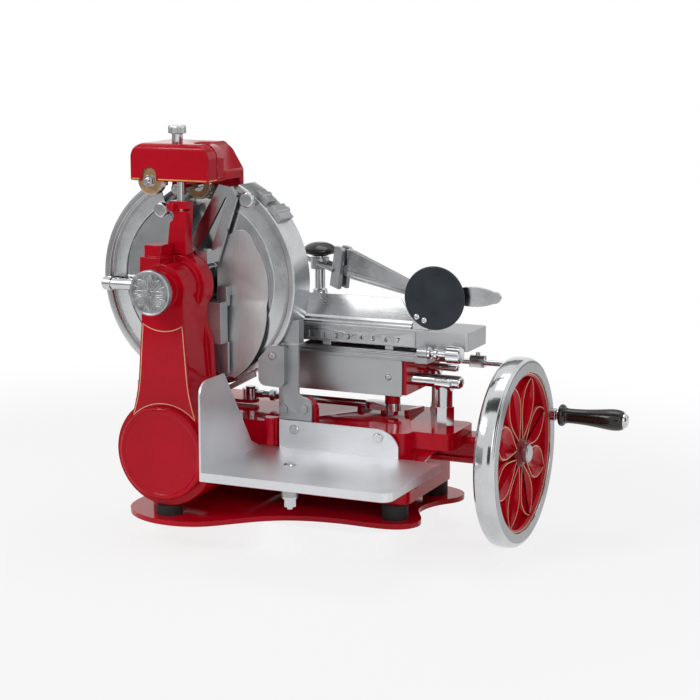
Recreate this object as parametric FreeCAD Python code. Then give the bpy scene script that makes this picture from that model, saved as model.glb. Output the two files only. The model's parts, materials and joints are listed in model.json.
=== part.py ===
"""Hand crank meat slicer, one STEP file for each piece.

Millimetres. X runs along the flywheel shaft towards the crank grip, Y runs away
from the side where the slices fall, Z is up. The origin is on the underside of
the base tray, straight below the blade's centre.
"""
import FreeCAD, Part
import math
import os

V = FreeCAD.Vector
X_AXIS = V(1, 0, 0)
Y_AXIS = V(0, 1, 0)
Z_AXIS = V(0, 0, 1)

# Blade and its guard
BLADE_DIAMETER = 300.0
BLADE_THICKNESS = 4.0
BLADE_HEIGHT = 353.0
BLADE_BACK_Y = 56.0
GUARD_EDGE_GAP = 13.0
GUARD_WALL = 3.0
GUARD_FACE_WIDTH = 38.0
GUARD_BACK_Y = 54.0
GUARD_MOUTH_ANGLE = 26.0
COVER_GAP = 1.0
COVER_THICKNESS = 2.5
COVER_Y = 5.0

# Base
TRAY_THICKNESS = 8.0
FOOT_DIAMETER = 40.0
FOOT_HEIGHT = 22.0
FOOT_PLACES = ((0.0, -98.0), (324.0, 17.0), (324.0, 180.0), (-60.0, 180.0))
BED_LEFT = -98.0
BED_RIGHT = 345.0
BED_FRONT = 8.0
BED_BACK = 205.0
BED_WALL = 8.0
BED_CORNER = 18.0

# Drive
SHAFT_HEIGHT = 105.0
SHAFT_BELOW_BED_TOP = 35.0
SHAFT_Y = 110.0
SHAFT_DIAMETER = 18.0
BUSH_WALL = 4.0
RUNNING_GAP = 0.05
SEAT_GAP = 0.3
FLYWHEEL_DIAMETER = 290.0
FLYWHEEL_WIDTH = 33.0
FLYWHEEL_BACK_X = 465.0
RIM_FACE = 23.0
WEB_INNER = 62.0
PETALS = 8
GRIP_RADIUS_ON_WHEEL = 126.0
GRIP_ANGLE = 16.5
GRIP_LENGTH = 103.0
MITRE_RADIUS = 25.0
MITRE_TEETH = 20
CRANK_PINION_RADIUS = 18.0
CRANK_GEAR_RADIUS = 27.0
CRANK_THROW = 95.0
CRANK_X = -62.0
CRANK_BOSS_HEIGHT = 3.5
CRANK_SHAFT_DIAMETER = 16.0
TOOTH_GAP = 0.4
LOWER_SPROCKET_TEETH = 22
UPPER_SPROCKET_TEETH = 12
CHAIN_PITCH = 9.525

# Gear column
DRUM_RADIUS = 82.0
DRUM_COVER_RADIUS = 71.0
DRUM_COVER_DEPTH = 13.0
COLUMN_FRONT = -110.0
COLUMN_BACK = -34.0
COLUMN_WALL = 4.0
COLUMN_LOW_HALF = 58.0
COLUMN_TOP_HALF = 36.0
COLUMN_LOW_RISE = 50.0
COLUMN_WAIST_HALF = 43.0
COLUMN_WAIST_RISE = 110.0
COLUMN_TOP_DROP = 47.0
HEAD_RADIUS = 47.0
HEAD_DEPTH = 30.0
BARREL_RADIUS = 38.0
BLADE_SHAFT_DIAMETER = 20.0
ROSETTE_RADIUS = 34.0
ROSETTE_DEPTH = 16.0

# Carriage and its slide
CARRIAGE_FRONT = 60.0
CARRIAGE_LEFT = 142.0
CARRIAGE_LENGTH = 180.0
CARRIAGE_DEPTH = 140.0
CARRIAGE_RISE = 47.0
CARRIAGE_HEIGHT = 54.0
CARRIAGE_WALL = 6.0
CARRIAGE_COVER = 4.0
TOP_PLATE_THICKNESS = 14.0
FRONT_BAR_DIAMETER = 20.0
FRONT_BAR_Y = 84.0
FRONT_BAR_RISE = 23.0
FRONT_BAR_END = 406.0
REAR_BAR_DIAMETER = 12.0
REAR_BAR_Y = 160.0
REAR_BAR_RISE = 29.0
REAR_BAR_END = 370.0
BARS_LEFT = -90.0
FRONT_COLUMN_X = 377.0
REAR_COLUMN_X = 333.0
ROD_RISE = 18.0
ROD_EYE_HEIGHT = 12.0
CRANK_EYE_HEIGHT = 17.0
ROD_EYE_RADIUS = 13.0
ROD_DIAMETER = 12.0
ROD_LENGTH = 247.0
ROD_PIN_R = 5.0
FEED_Y = 190.0
FEED_RISE = 35.0
FEED_R = 4.5
FEED_INSIDE = 22.0
FEED_RIGHT = 452.0
FEED_CLAMP_OUT = 56.0
FEED_KNOB_Y = 45.0
FEED_KNOB_RISE = 4.5

# Meat table and press
TABLE_LEFT = 62.0
TABLE_RIGHT = 325.0
TABLE_TONGUE_RIGHT = 422.0
TABLE_TONGUE_DEPTH = 81.0
TABLE_CORNER = 4.0
TABLE_DEPTH = 198.0
TABLE_THICKNESS = 28.0
TABLE_SLIDE_HEIGHT = 7.0
FENCE_HEIGHT = 38.0
FENCE_SHEET = 3.0
SCALE_MARKS = 8
POST_X = 107.0
POST_Y = 215.0
POST_DIAMETER = 17.0
POST_HEIGHT = 82.0
PRESS_ANGLE = -28.0
PRESS_PIN_OUT = 60.0
PRESS_PIN_HEIGHT = 62.0
DISC_RADIUS = 48.0
DISC_X = 367.0
DISC_Y = 64.0
DISC_RISE = 49.5

# Receiving plate
PLATE_LEFT = 106.0
PLATE_RIGHT = 404.0
PLATE_FRONT = -195.0
PLATE_DROP = 36.0
PLATE_RIM = 13.0
PLATE_SHEET = 3.0
PLATE_BOLT_X = 205.0
PLATE_BOLT_Y = -100.0
PLATE_BOSS = 43.0
PLATE_SCREWS_X = (166.0, 304.0)
BOLT_DIAMETER = 10.0
BOLT_PLAY = 0.3
SIDE_WALL_HEIGHT = 133.0
BACK_WALL_HEIGHT = 43.0

# Sharpener
HOOD_LEFT = -74.0
HOOD_RIGHT = 59.0
HOOD_FRONT = -70.0
HOOD_DEPTH = 115.0
HOOD_CLEARANCE = 7.0
HOOD_HEIGHT = 56.0
HOOD_WALL = 3.0
HOOD_FLAP = 15.0
HOOD_GROOVE_Y = -42.0
HOOD_GROOVE_WIDTH = 26.0
STONE_RADIUS = 22.0
STONE_WIDTH = 14.0
LIFT_ROD_DIAMETER = 11.0
LIFT_ROD_Y = -48.0
REAR_STONE_DROP = 14.0

# Worked out from the sizes above
BLADE_RADIUS = BLADE_DIAMETER / 2
GUARD_INNER = BLADE_RADIUS + GUARD_EDGE_GAP
GUARD_OUTER = GUARD_INNER + GUARD_WALL
BED_BOTTOM = TRAY_THICKNESS + FOOT_HEIGHT
BED_TOP = SHAFT_HEIGHT + SHAFT_BELOW_BED_TOP
STRUT_LEFT = GUARD_OUTER - 29
STRUT_TOP = BLADE_HEIGHT - 91
COLUMN_LOW_Z = SHAFT_HEIGHT + COLUMN_LOW_RISE
COLUMN_WAIST_Z = SHAFT_HEIGHT + COLUMN_WAIST_RISE
COLUMN_TOP_Z = BLADE_HEIGHT - COLUMN_TOP_DROP
WHEEL_RADIUS = FLYWHEEL_DIAMETER / 2
WHEEL_FRONT_X = FLYWHEEL_BACK_X + FLYWHEEL_WIDTH
RIM_INNER = WHEEL_RADIUS - RIM_FACE
SHAFT_R = SHAFT_DIAMETER / 2
GRIP_Y = SHAFT_Y + GRIP_RADIUS_ON_WHEEL * math.cos(math.radians(GRIP_ANGLE))
GRIP_Z = SHAFT_HEIGHT + GRIP_RADIUS_ON_WHEEL * math.sin(math.radians(GRIP_ANGLE))
CARRIAGE_BOTTOM = BED_TOP + CARRIAGE_RISE
CARRIAGE_TOP = CARRIAGE_BOTTOM + CARRIAGE_HEIGHT
FRONT_BAR_Z = CARRIAGE_BOTTOM + FRONT_BAR_RISE
REAR_BAR_Z = CARRIAGE_BOTTOM + REAR_BAR_RISE
ROD_Z = BED_TOP + ROD_RISE
PLATE_TOP = BED_TOP - PLATE_DROP
CARRIAGE_RIGHT = CARRIAGE_LEFT + CARRIAGE_LENGTH
CARRIAGE_BACK = CARRIAGE_FRONT + CARRIAGE_DEPTH
TOP_PLATE_Z = CARRIAGE_TOP + TOP_PLATE_THICKNESS
FEED_Z = CARRIAGE_BOTTOM + FEED_RISE
FEED_LEFT = CARRIAGE_RIGHT - FEED_INSIDE
FEED_KNOB_Z = TOP_PLATE_Z + FEED_KNOB_RISE
TABLE_Z = TOP_PLATE_Z + TABLE_SLIDE_HEIGHT
TABLE_TOP = TABLE_Z + TABLE_THICKNESS
POST_TOP = TABLE_TOP + POST_HEIGHT
PRESS_PIN_Z = TABLE_TOP + PRESS_PIN_HEIGHT
DISC_Z = TABLE_TOP + DISC_RISE
TABLE_BACK = CARRIAGE_FRONT + TABLE_DEPTH
PIN_X = CRANK_X + CRANK_THROW
BOSS_X = PIN_X + ROD_LENGTH
HOOD_BACK = HOOD_FRONT + HOOD_DEPTH
HOOD_BOTTOM = BLADE_HEIGHT + BLADE_RADIUS + HOOD_CLEARANCE
HOOD_TOP = HOOD_BOTTOM + HOOD_HEIGHT
STONE_PLACES = ((-42.0, -66.0, HOOD_BOTTOM), (-12.0, 28.0, HOOD_BOTTOM - REAR_STONE_DROP))
CHAIN_Y = COLUMN_FRONT + 36
BOLT_R = BOLT_DIAMETER / 2


def block(x0, x1, y0, y1, z0, z1):
    """Plain box between two corners."""
    return Part.makeBox(x1 - x0, y1 - y0, z1 - z0, V(x0, y0, z0))


def bar_x(x0, x1, y, z, radius):
    """Round bar along X."""
    return Part.makeCylinder(radius, x1 - x0, V(x0, y, z), X_AXIS)


def bar_y(y0, y1, x, z, radius):
    """Round bar along Y."""
    return Part.makeCylinder(radius, y1 - y0, V(x, y0, z), Y_AXIS)


def bar_z(z0, z1, x, y, radius):
    """Round bar along Z."""
    return Part.makeCylinder(radius, z1 - z0, V(x, y, z0), Z_AXIS)


def bar_between(start, end, radius):
    """Round bar between two points."""
    return Part.makeCylinder(radius, (end - start).Length, start, end - start)


def on_ring(angle, inset):
    """Place in X and Z by its angle from the ring's top and its distance in from the rim."""
    a = math.radians(angle)
    r = GUARD_OUTER - inset
    return r * math.sin(a), BLADE_HEIGHT + r * math.cos(a)


def outline(points, place):
    """Closed wire; a point given as a pair of points is an arc through the first to the second."""
    edges = []
    last = place(*points[0])
    for item in list(points[1:]) + [points[0]]:
        if isinstance(item[0], tuple):
            middle, end = place(*item[0]), place(*item[1])
            edges.append(Part.Arc(last, middle, end).toShape())
        else:
            end = place(*item)
            if (end - last).Length > 1e-6:
                edges.append(Part.LineSegment(last, end).toShape())
        last = end
    return Part.Face(Part.Wire(edges))


def plate_y(points, y0, y1):
    """Outline in X and Z, carried along Y."""
    return outline(points, lambda x, z: V(x, y0, z)).extrude(V(0, y1 - y0, 0))


def plate_x(points, x0, x1):
    """Outline in Y and Z, carried along X."""
    return outline(points, lambda y, z: V(x0, y, z)).extrude(V(x1 - x0, 0, 0))


def plate_z(points, z0, z1):
    """Outline in X and Y, carried along Z."""
    return outline(points, lambda x, y: V(x, y, z0)).extrude(V(0, 0, z1 - z0))


def rounded(u0, u1, v0, v1, radius):
    """Outline points of a rectangle with round corners."""
    s = radius * (1 - math.sqrt(0.5))
    return ((u0 + radius, v0), (u1 - radius, v0), ((u1 - s, v0 + s), (u1, v0 + radius)),
            (u1, v1 - radius), ((u1 - s, v1 - s), (u1 - radius, v1)),
            (u0 + radius, v1), ((u0 + s, v1 - s), (u0, v1 - radius)),
            (u0, v0 + radius), ((u0 + s, v0 + s), (u0 + radius, v0)))


def slot(u0, u1, v, radius):
    """Outline points of a bar with round ends."""
    return ((u0, v - radius), (u1, v - radius), ((u1 + radius, v), (u1, v + radius)),
            (u0, v + radius), ((u0 - radius, v), (u0, v - radius)))


def turned(profile, origin, axis):
    """Solid of revolution; the profile holds distances from the axis and along it."""
    side = V(0, 0, 1) if abs(axis.z) < 0.5 else V(1, 0, 0)
    face = outline(profile, lambda r, a: origin + side * r + axis * a)
    return face.revolve(origin, axis, 360)


def toothed(radius, teeth, height, width, origin, axis):
    """Toothed wheel; radius is the pitch radius."""
    side = V(0, 0, 1) if abs(axis.z) < 0.5 else V(1, 0, 0)
    other = axis.cross(side)
    points = []
    for i in range(teeth):
        for share, r in ((-0.30, -height / 2), (-0.14, height / 2), (0.14, height / 2), (0.30, -height / 2)):
            a = 2 * math.pi * (i + share) / teeth
            points.append(origin + side * (radius + r) * math.cos(a) + other * (radius + r) * math.sin(a))
    return Part.Face(Part.makePolygon(points + [points[0]])).extrude(axis * width)


def bevel_gear(apex, axis, radius, distance, face, teeth):
    """Bevel gear whose pitch cone points at the apex; its teeth stop short of that cone."""
    inner = 1 - face
    big, small = radius - TOOTH_GAP, radius * inner - TOOTH_GAP
    base = apex + axis * distance
    gear = Part.makeCone(big, small, distance * face, base, axis * -1)
    side = V(0, 0, 1) if abs(axis.z) < 0.5 else V(1, 0, 0)
    width = math.pi * radius / teeth * 0.45
    groove = Part.makeBox(width, radius * 0.12, distance * 2, V(-width / 2, -radius * 0.12, -distance))
    slope = math.degrees(math.atan2(radius, distance))
    for i in range(teeth):
        cutter = groove.copy()
        cutter.rotate(V(0, 0, 0), X_AXIS, slope)
        cutter.translate(V(0, radius, 0))
        turn = FreeCAD.Rotation(side.cross(axis), side, axis, "ZYX")
        cutter.Placement = FreeCAD.Placement(base, turn).multiply(cutter.Placement)
        cutter.rotate(base, axis, 360.0 * i / teeth)
        gear = gear.cut(cutter)
    return gear


def hex_head(origin, axis, across, height):
    """Six-sided bolt head."""
    side = V(0, 0, 1) if abs(axis.z) < 0.5 else V(1, 0, 0)
    other = axis.cross(side)
    r = across / math.sqrt(3)
    points = []
    for i in range(7):
        a = math.pi / 3 * i
        points.append(origin + side * r * math.cos(a) + other * r * math.sin(a))
    return Part.Face(Part.makePolygon(points)).extrude(axis * height)


def fused(*shapes):
    """One solid from touching or crossing shapes."""
    body = shapes[0].fuse(list(shapes[1:])) if len(shapes) > 1 else shapes[0]
    return body.removeSplitter()


def save(name, shape):
    """Write one piece, or a group of like pieces, and say what it holds."""
    solids = shape.Solids
    whole = solids[0] if len(solids) == 1 else Part.makeCompound(solids)
    print(name, len(solids), shape.isValid(), round(whole.Volume / 1000, 2))
    whole.exportStep("parts/" + name + ".step")


def base_tray():
    """Thin wavy tray with a lobe round each foot."""
    front = ((-71, -94), (-38, -123), (0, -136), (38, -135), (67, -124), (96, -99), (125, -70),
             (160, -44), (205, -28), (268, -22), (320, -22), (352, -10), (364, 14), (354, 46),
             (338, 78), (338, 112), (350, 142), (368, 170), (366, 200), (340, 222))
    back = ((250, 226), (120, 220), (20, 226), (-60, 228), (-98, 210), (-106, 176), (-94, 130),
            (-82, 70), (-84, 0), (-84, -60))
    curve = Part.BSplineCurve()
    curve.interpolate([V(x, y, 0) for x, y in front + back], PeriodicFlag=True)
    return Part.Face(Part.Wire(curve.toShape())).extrude(V(0, 0, TRAY_THICKNESS))


def rubber_feet():
    """Four round feet between the tray and the castings; the first is shaped to the drum."""
    feet = []
    r = FOOT_DIAMETER / 2
    for x, y in FOOT_PLACES:
        under_drum = y < COLUMN_BACK
        top = SHAFT_HEIGHT - math.sqrt(DRUM_RADIUS ** 2 - r ** 2) if under_drum else BED_BOTTOM
        foot = turned(((0, TRAY_THICKNESS), (r, TRAY_THICKNESS), (r, top - 2), (r - 2, top), (0, top)),
                      V(x, y, 0), Z_AXIS)
        if under_drum:
            foot = foot.cut(bar_y(COLUMN_FRONT - 30, COLUMN_BACK, 0, SHAFT_HEIGHT, DRUM_RADIUS))
        feet.append(foot)
    return Part.makeCompound(feet)


def bed_casting():
    """Hollow bed under the carriage, with the pad, ribs and bosses that grow from it."""
    outer = plate_z(rounded(BED_LEFT, BED_RIGHT, BED_FRONT, BED_BACK, BED_CORNER), BED_BOTTOM, BED_TOP)
    inner = plate_z(rounded(BED_LEFT + BED_WALL, BED_RIGHT - BED_WALL, BED_FRONT + BED_WALL,
                            BED_BACK - BED_WALL, BED_CORNER - BED_WALL), BED_BOTTOM, BED_TOP - BED_WALL)
    shell = outer.cut(inner)
    pad = plate_z(rounded(BED_RIGHT - 22, FRONT_COLUMN_X + 30, 34, 132, 14), BED_TOP - 26, BED_TOP)
    pad = pad.cut(block(BED_RIGHT, FRONT_COLUMN_X + 40, SHAFT_Y - 27, SHAFT_Y + 27, BED_TOP - 30,
                        SHAFT_HEIGHT + 22 + SEAT_GAP))
    gusset = plate_y(((BED_RIGHT - 4, BED_BOTTOM + 20), (BED_RIGHT + 4, BED_BOTTOM + 20),
                      ((BED_RIGHT + 18, BED_TOP - 44), (FRONT_COLUMN_X + 10, BED_TOP - 26)),
                      (BED_RIGHT - 4, BED_TOP - 26)), 40, 58)
    front_post = fused(block(112, 134, BED_FRONT - 6, BED_FRONT + 4, PLATE_TOP + 0.5, BED_TOP + 8),
                       bar_z(PLATE_TOP + 0.5, BED_TOP + 8, 123, BED_FRONT - 6, 8))
    x = STRUT_LEFT - 1
    lug = plate_y(((x, BED_TOP - 4), (x + 60, BED_TOP - 4), (x + 60, BED_TOP + 24),
                   ((x + 48, BED_TOP + 40), (x + 30, BED_TOP + 42)), (x, BED_TOP + 42)),
                  BED_FRONT, BED_FRONT + 14)
    bearing_wall = block(52, 52 + BED_WALL, BED_FRONT + 4, BED_BACK - 4, BED_BOTTOM + 8, BED_TOP - 4)
    crank_boss = bar_z(BED_TOP - BED_WALL - 6, BED_TOP + CRANK_BOSS_HEIGHT, CRANK_X, SHAFT_Y,
                       CRANK_SHAFT_DIAMETER / 2 + 10)
    solid = fused(shell, pad, gusset, front_post, lug, bearing_wall, crank_boss)
    ribs = []
    for x in (212, 252, 292):
        ribs.append(plate_x(((128, BED_TOP - 2), (192, BED_TOP - 2), (192, BED_TOP + 4),
                             ((168, BED_TOP + 6), (144, BED_TOP + 9)), (128, BED_TOP + 9)), x, x + 8))
    solid = fused(solid, *ribs)
    bush_r = SHAFT_R + BUSH_WALL
    holes = [bar_x(50, BED_RIGHT + 2, SHAFT_Y, SHAFT_HEIGHT, bush_r),
             bar_z(BED_TOP - 30, BED_TOP + 8, CRANK_X, SHAFT_Y, CRANK_SHAFT_DIAMETER / 2 + RUNNING_GAP),
             bar_y(BED_FRONT - 2, BED_FRONT + BED_WALL + 2, 0, SHAFT_HEIGHT, SHAFT_R + BUSH_WALL)]
    for hole in holes:
        solid = solid.cut(hole)
    return solid


def bearing_arm():
    """Box-shaped arm that carries the flywheel shaft to the wheel."""
    x1 = FLYWHEEL_BACK_X - 4
    outer = plate_x(rounded(SHAFT_Y - 26, SHAFT_Y + 26, SHAFT_HEIGHT - 20, SHAFT_HEIGHT + 22, 8),
                    BED_RIGHT, x1)
    flange = plate_x(rounded(SHAFT_Y - 34, SHAFT_Y + 34, SHAFT_HEIGHT - 30, BED_TOP - 27, 6),
                     BED_RIGHT, BED_RIGHT + 8)
    groove = block(BED_RIGHT + 14, x1 - 16, SHAFT_Y - 27, SHAFT_Y - 23, SHAFT_HEIGHT - 9, SHAFT_HEIGHT + 9)
    arm = fused(outer, flange).cut(groove)
    arm = arm.cut(bar_x(BED_RIGHT - 2, x1 + 2, SHAFT_Y, SHAFT_HEIGHT, SHAFT_R + BUSH_WALL))
    return arm


def shaft_bushes():
    """Bronze bushes of the flywheel shaft and the cross shaft."""
    bore = SHAFT_R + RUNNING_GAP
    outside = SHAFT_R + BUSH_WALL
    bushes = []
    for x in (52.0, BED_RIGHT - BED_WALL, FLYWHEEL_BACK_X - 26):
        length = 22 if x > BED_RIGHT else BED_WALL
        bushes.append(bar_x(x, x + length, SHAFT_Y, SHAFT_HEIGHT, outside)
                      .cut(bar_x(x - 1, x + length + 1, SHAFT_Y, SHAFT_HEIGHT, bore)))
    for y in (COLUMN_BACK - COLUMN_WALL, BED_FRONT):
        length = COLUMN_WALL if y < 0 else BED_WALL
        bushes.append(bar_y(y, y + length, 0, SHAFT_HEIGHT, outside)
                      .cut(bar_y(y - 1, y + length + 1, 0, SHAFT_HEIGHT, bore)))
    return Part.makeCompound(bushes)


def gear_column():
    """Hollow red column: drum at the foot, tapered tower, and the blade's bearing head."""
    def tower(y0, y1, inset):
        low, top = COLUMN_LOW_HALF - inset, COLUMN_TOP_HALF - inset
        z_top = BLADE_HEIGHT
        waist = COLUMN_WAIST_HALF - inset
        bend = (waist + 6, COLUMN_WAIST_Z - 33)
        return plate_y(((-low, SHAFT_HEIGHT), (low, SHAFT_HEIGHT), (low, COLUMN_LOW_Z - 5),
                        (bend, (waist, COLUMN_WAIST_Z)), (top, COLUMN_TOP_Z), (top, z_top), (-top, z_top),
                        (-top, COLUMN_TOP_Z), (-waist, COLUMN_WAIST_Z),
                        ((-bend[0], bend[1]), (-low, COLUMN_LOW_Z - 5))), y0, y1)

    drum = bar_y(COLUMN_FRONT, COLUMN_BACK, 0, SHAFT_HEIGHT, DRUM_RADIUS)
    foot_z = SHAFT_HEIGHT - DRUM_RADIUS + 7
    foot = block(-26, 26, COLUMN_FRONT + 2, BED_FRONT, foot_z, SHAFT_HEIGHT)
    foot = foot.cut(block(-20, 20, COLUMN_BACK + COLUMN_WALL, BED_FRONT + 1,
                          foot_z + COLUMN_WALL, SHAFT_HEIGHT))
    barrel = bar_y(COLUMN_FRONT, COLUMN_BACK, 0, BLADE_HEIGHT, BARREL_RADIUS)
    head = bar_y(COLUMN_BACK - HEAD_DEPTH, COLUMN_BACK, 0, BLADE_HEIGHT, HEAD_RADIUS)
    shoulder = plate_y(((-34, BLADE_HEIGHT - 50), (34, BLADE_HEIGHT - 50), (46, BLADE_HEIGHT - 84),
                        (50, COLUMN_LOW_Z + 40), (DRUM_RADIUS - 2, SHAFT_HEIGHT),
                        (-DRUM_RADIUS + 2, SHAFT_HEIGHT), (-64, COLUMN_LOW_Z + 40), (-46, BLADE_HEIGHT - 84)),
                       COLUMN_BACK - 12, COLUMN_BACK)
    step_low = block(-BARREL_RADIUS, -4, COLUMN_FRONT + 2, COLUMN_BACK - HEAD_DEPTH,
                     BLADE_HEIGHT, BLADE_HEIGHT + BARREL_RADIUS + 9)
    step_top = block(-BARREL_RADIUS + 2, -8, COLUMN_FRONT + 12, LIFT_ROD_Y - 11 - SEAT_GAP,
                     BLADE_HEIGHT + BARREL_RADIUS + 4, BLADE_HEIGHT + BARREL_RADIUS + 26)
    neck = bar_y(COLUMN_FRONT - 22, COLUMN_FRONT, 0, BLADE_HEIGHT, BARREL_RADIUS - 12)
    solid = fused(drum, foot, tower(COLUMN_FRONT, COLUMN_BACK, 0), barrel, head, shoulder,
                  step_low, step_top, neck)
    y0, y1 = COLUMN_FRONT + COLUMN_WALL, COLUMN_BACK - COLUMN_WALL
    hollow = fused(bar_y(y0, y1, 0, SHAFT_HEIGHT, DRUM_RADIUS - COLUMN_WALL), tower(y0, y1, COLUMN_WALL),
                   bar_y(y0, y1, 0, BLADE_HEIGHT, BARREL_RADIUS - COLUMN_WALL))
    solid = solid.cut(hollow)
    cuts = [bar_y(COLUMN_FRONT - 6, y0 + 1, 0, SHAFT_HEIGHT, DRUM_COVER_RADIUS - 10),
            bar_y(y1 - 1, COLUMN_BACK + COLUMN_WALL + 1, 0, SHAFT_HEIGHT, SHAFT_R + BUSH_WALL),
            bar_y(COLUMN_FRONT - 23, COLUMN_BACK + 1, 0, BLADE_HEIGHT,
                  BLADE_SHAFT_DIAMETER / 2 + RUNNING_GAP)]
    for cut in cuts:
        solid = solid.cut(cut)
    return solid


def drum_cover():
    """Round front cover with a raised rim; the maker's place on it is left bare."""
    y = COLUMN_FRONT
    r = DRUM_COVER_RADIUS
    d = DRUM_COVER_DEPTH
    return turned(((0, 0), (r, 0), (r, d - 4), ((r - 1.2, d - 1.2), (r - 4, d)), (r - 7, d),
                   (r - 9, d - 2), (0, d - 0.5)), V(0, y, SHAFT_HEIGHT), V(0, -1, 0))


def sharpener_post():
    """Red stalk on the head that holds the sharpener's rod, with its split clamp."""
    y0, y1 = LIFT_ROD_Y - 11, LIFT_ROD_Y + 11
    foot_z = BLADE_HEIGHT + HEAD_RADIUS
    stalk = plate_y(((-20, foot_z), (14, foot_z), (12, foot_z + 30), (15, foot_z + 62), (15, foot_z + 80),
                     (-15, foot_z + 80), (-16, foot_z + 66), ((-8, foot_z + 60), (-14, foot_z + 48))),
                    y0, y1)
    web_z = BLADE_HEIGHT + 30
    web = plate_y(((-30, web_z), (30, web_z), (14, foot_z + 0.1), (-20, foot_z + 0.1)), y0, y1)
    head = bar_y(COLUMN_BACK - HEAD_DEPTH - 1, COLUMN_BACK + 1, 0, BLADE_HEIGHT, HEAD_RADIUS)
    body = fused(stalk, web).cut(head)
    hole = bar_z(foot_z + 6, foot_z + 90, 0, LIFT_ROD_Y, LIFT_ROD_DIAMETER / 2 + RUNNING_GAP)
    split = block(0, 20, y0 - 1, LIFT_ROD_Y, foot_z + 66, foot_z + 68)
    body = body.cut(hole).cut(split)
    return max(body.Solids, key=lambda s: s.Volume)


def clamp_screw():
    """Screw across the post's clamp."""
    z = BLADE_HEIGHT + HEAD_RADIUS + 72
    y = LIFT_ROD_Y - 11
    head = turned(((0, 0), (7, 0), (7, 7), (5.5, 9), (0, 9)), V(-8, y, z), V(0, -1, 0))
    return head


def lift_rod():
    """Chrome rod that the sharpener hood rides on."""
    return bar_z(BLADE_HEIGHT + HEAD_RADIUS + 40, HOOD_TOP - HOOD_WALL, 0, LIFT_ROD_Y,
                 LIFT_ROD_DIAMETER / 2)


def hood_outline(inset):
    """Side outline of the hood in X and Z with rounded upper corners."""
    x0, x1 = HOOD_LEFT + inset, HOOD_RIGHT - inset
    z0, z1 = HOOD_BOTTOM - HOOD_FLAP, HOOD_TOP - inset
    r = 22 - inset
    s = r * (1 - math.sqrt(0.5))
    return ((x0, z0), (x1, z0), (x1, z1 - r), ((x1 - s, z1 - s), (x1 - r, z1)), (x0 + r, z1),
            ((x0 + s, z1 - s), (x0, z1 - r)))


def hood_profile(inset):
    """Front-to-back outline of the hood in Y and Z, lower at the back."""
    y0, y1 = HOOD_FRONT + inset, HOOD_BACK - inset
    z0, z1 = HOOD_BOTTOM - HOOD_FLAP - 1, HOOD_TOP - inset
    r = 10
    s = r * (1 - math.sqrt(0.5))
    return ((y0, z0), (y1, z0), (y1, z1 - 14), ((y1 - 8, z1 - 5), (y1 - 30, z1)), (y0 + r, z1),
            ((y0 + s, z1 - s), (y0, z1 - r)))


def hood_slope(inset):
    """Wedge off the hood's upper right edge, behind its groove."""
    x, z = HOOD_RIGHT - inset, HOOD_TOP - inset
    return plate_y(((x - 23, z + 10), (x - 23, z - 5), (x + 5, z - 51), (x + 5, z + 10)),
                   HOOD_GROOVE_Y + HOOD_GROOVE_WIDTH - inset, HOOD_BACK + 1)


def sharpener_hood():
    """Hollow hood over the grinding wheels."""
    outer = plate_y(hood_outline(0), HOOD_FRONT, HOOD_BACK)
    outer = outer.common(plate_x(hood_profile(0), HOOD_LEFT - 1, HOOD_RIGHT + 1)).cut(hood_slope(0))
    inner = plate_y(hood_outline(HOOD_WALL), HOOD_FRONT + HOOD_WALL, HOOD_BACK - HOOD_WALL)
    inner = inner.common(plate_x(hood_profile(HOOD_WALL), HOOD_LEFT, HOOD_RIGHT)).cut(hood_slope(HOOD_WALL))
    flap_z = HOOD_BOTTOM - HOOD_FLAP - 2
    below = block(HOOD_LEFT - 1, HOOD_RIGHT + 1, HOOD_FRONT - 1, HOOD_BACK - 14, flap_z, HOOD_BOTTOM)
    corner = block(HOOD_LEFT - 1, HOOD_LEFT + 9, HOOD_FRONT, HOOD_BACK + 1, flap_z, HOOD_BOTTOM)
    hood = outer.cut(inner).cut(below).cut(corner)
    groove_end = HOOD_GROOVE_Y + HOOD_GROOVE_WIDTH
    groove = plate_y(hood_outline(-5), HOOD_GROOVE_Y, groove_end)
    groove = groove.cut(plate_y(hood_outline(1.2), HOOD_GROOVE_Y - 1, groove_end + 1))
    groove_side = block(20, HOOD_RIGHT + 9, HOOD_FRONT, HOOD_BACK, HOOD_BOTTOM + 4, HOOD_TOP + 9)
    hood = hood.cut(groove.common(groove_side))
    mouth_x = STONE_PLACES[0][0]
    mouth = fused(bar_y(HOOD_FRONT - 1, HOOD_FRONT + HOOD_WALL + 1, mouth_x, STONE_PLACES[0][2] + 8, 12),
                  block(mouth_x - 12, mouth_x + 12, HOOD_FRONT - 1, HOOD_FRONT + HOOD_WALL + 1,
                        HOOD_BOTTOM - 2, STONE_PLACES[0][2] + 8))
    hood = hood.cut(mouth)
    boss = bar_z(HOOD_TOP - HOOD_WALL - 12, HOOD_TOP - HOOD_WALL, 0, LIFT_ROD_Y, 11)
    hood = fused(hood, boss.cut(bar_z(HOOD_BOTTOM, HOOD_TOP, 0, LIFT_ROD_Y, LIFT_ROD_DIAMETER / 2)))
    for x, y0, z in STONE_PLACES:
        web_y = HOOD_FRONT + 34
        web = block(x - 10, x + 10, web_y, web_y + 8, z - 10, HOOD_TOP - HOOD_WALL)
        web = web.cut(bar_y(web_y - 1, web_y + 9, x, z, 5 + RUNNING_GAP))
        hood = fused(hood, web)
    return hood


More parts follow.
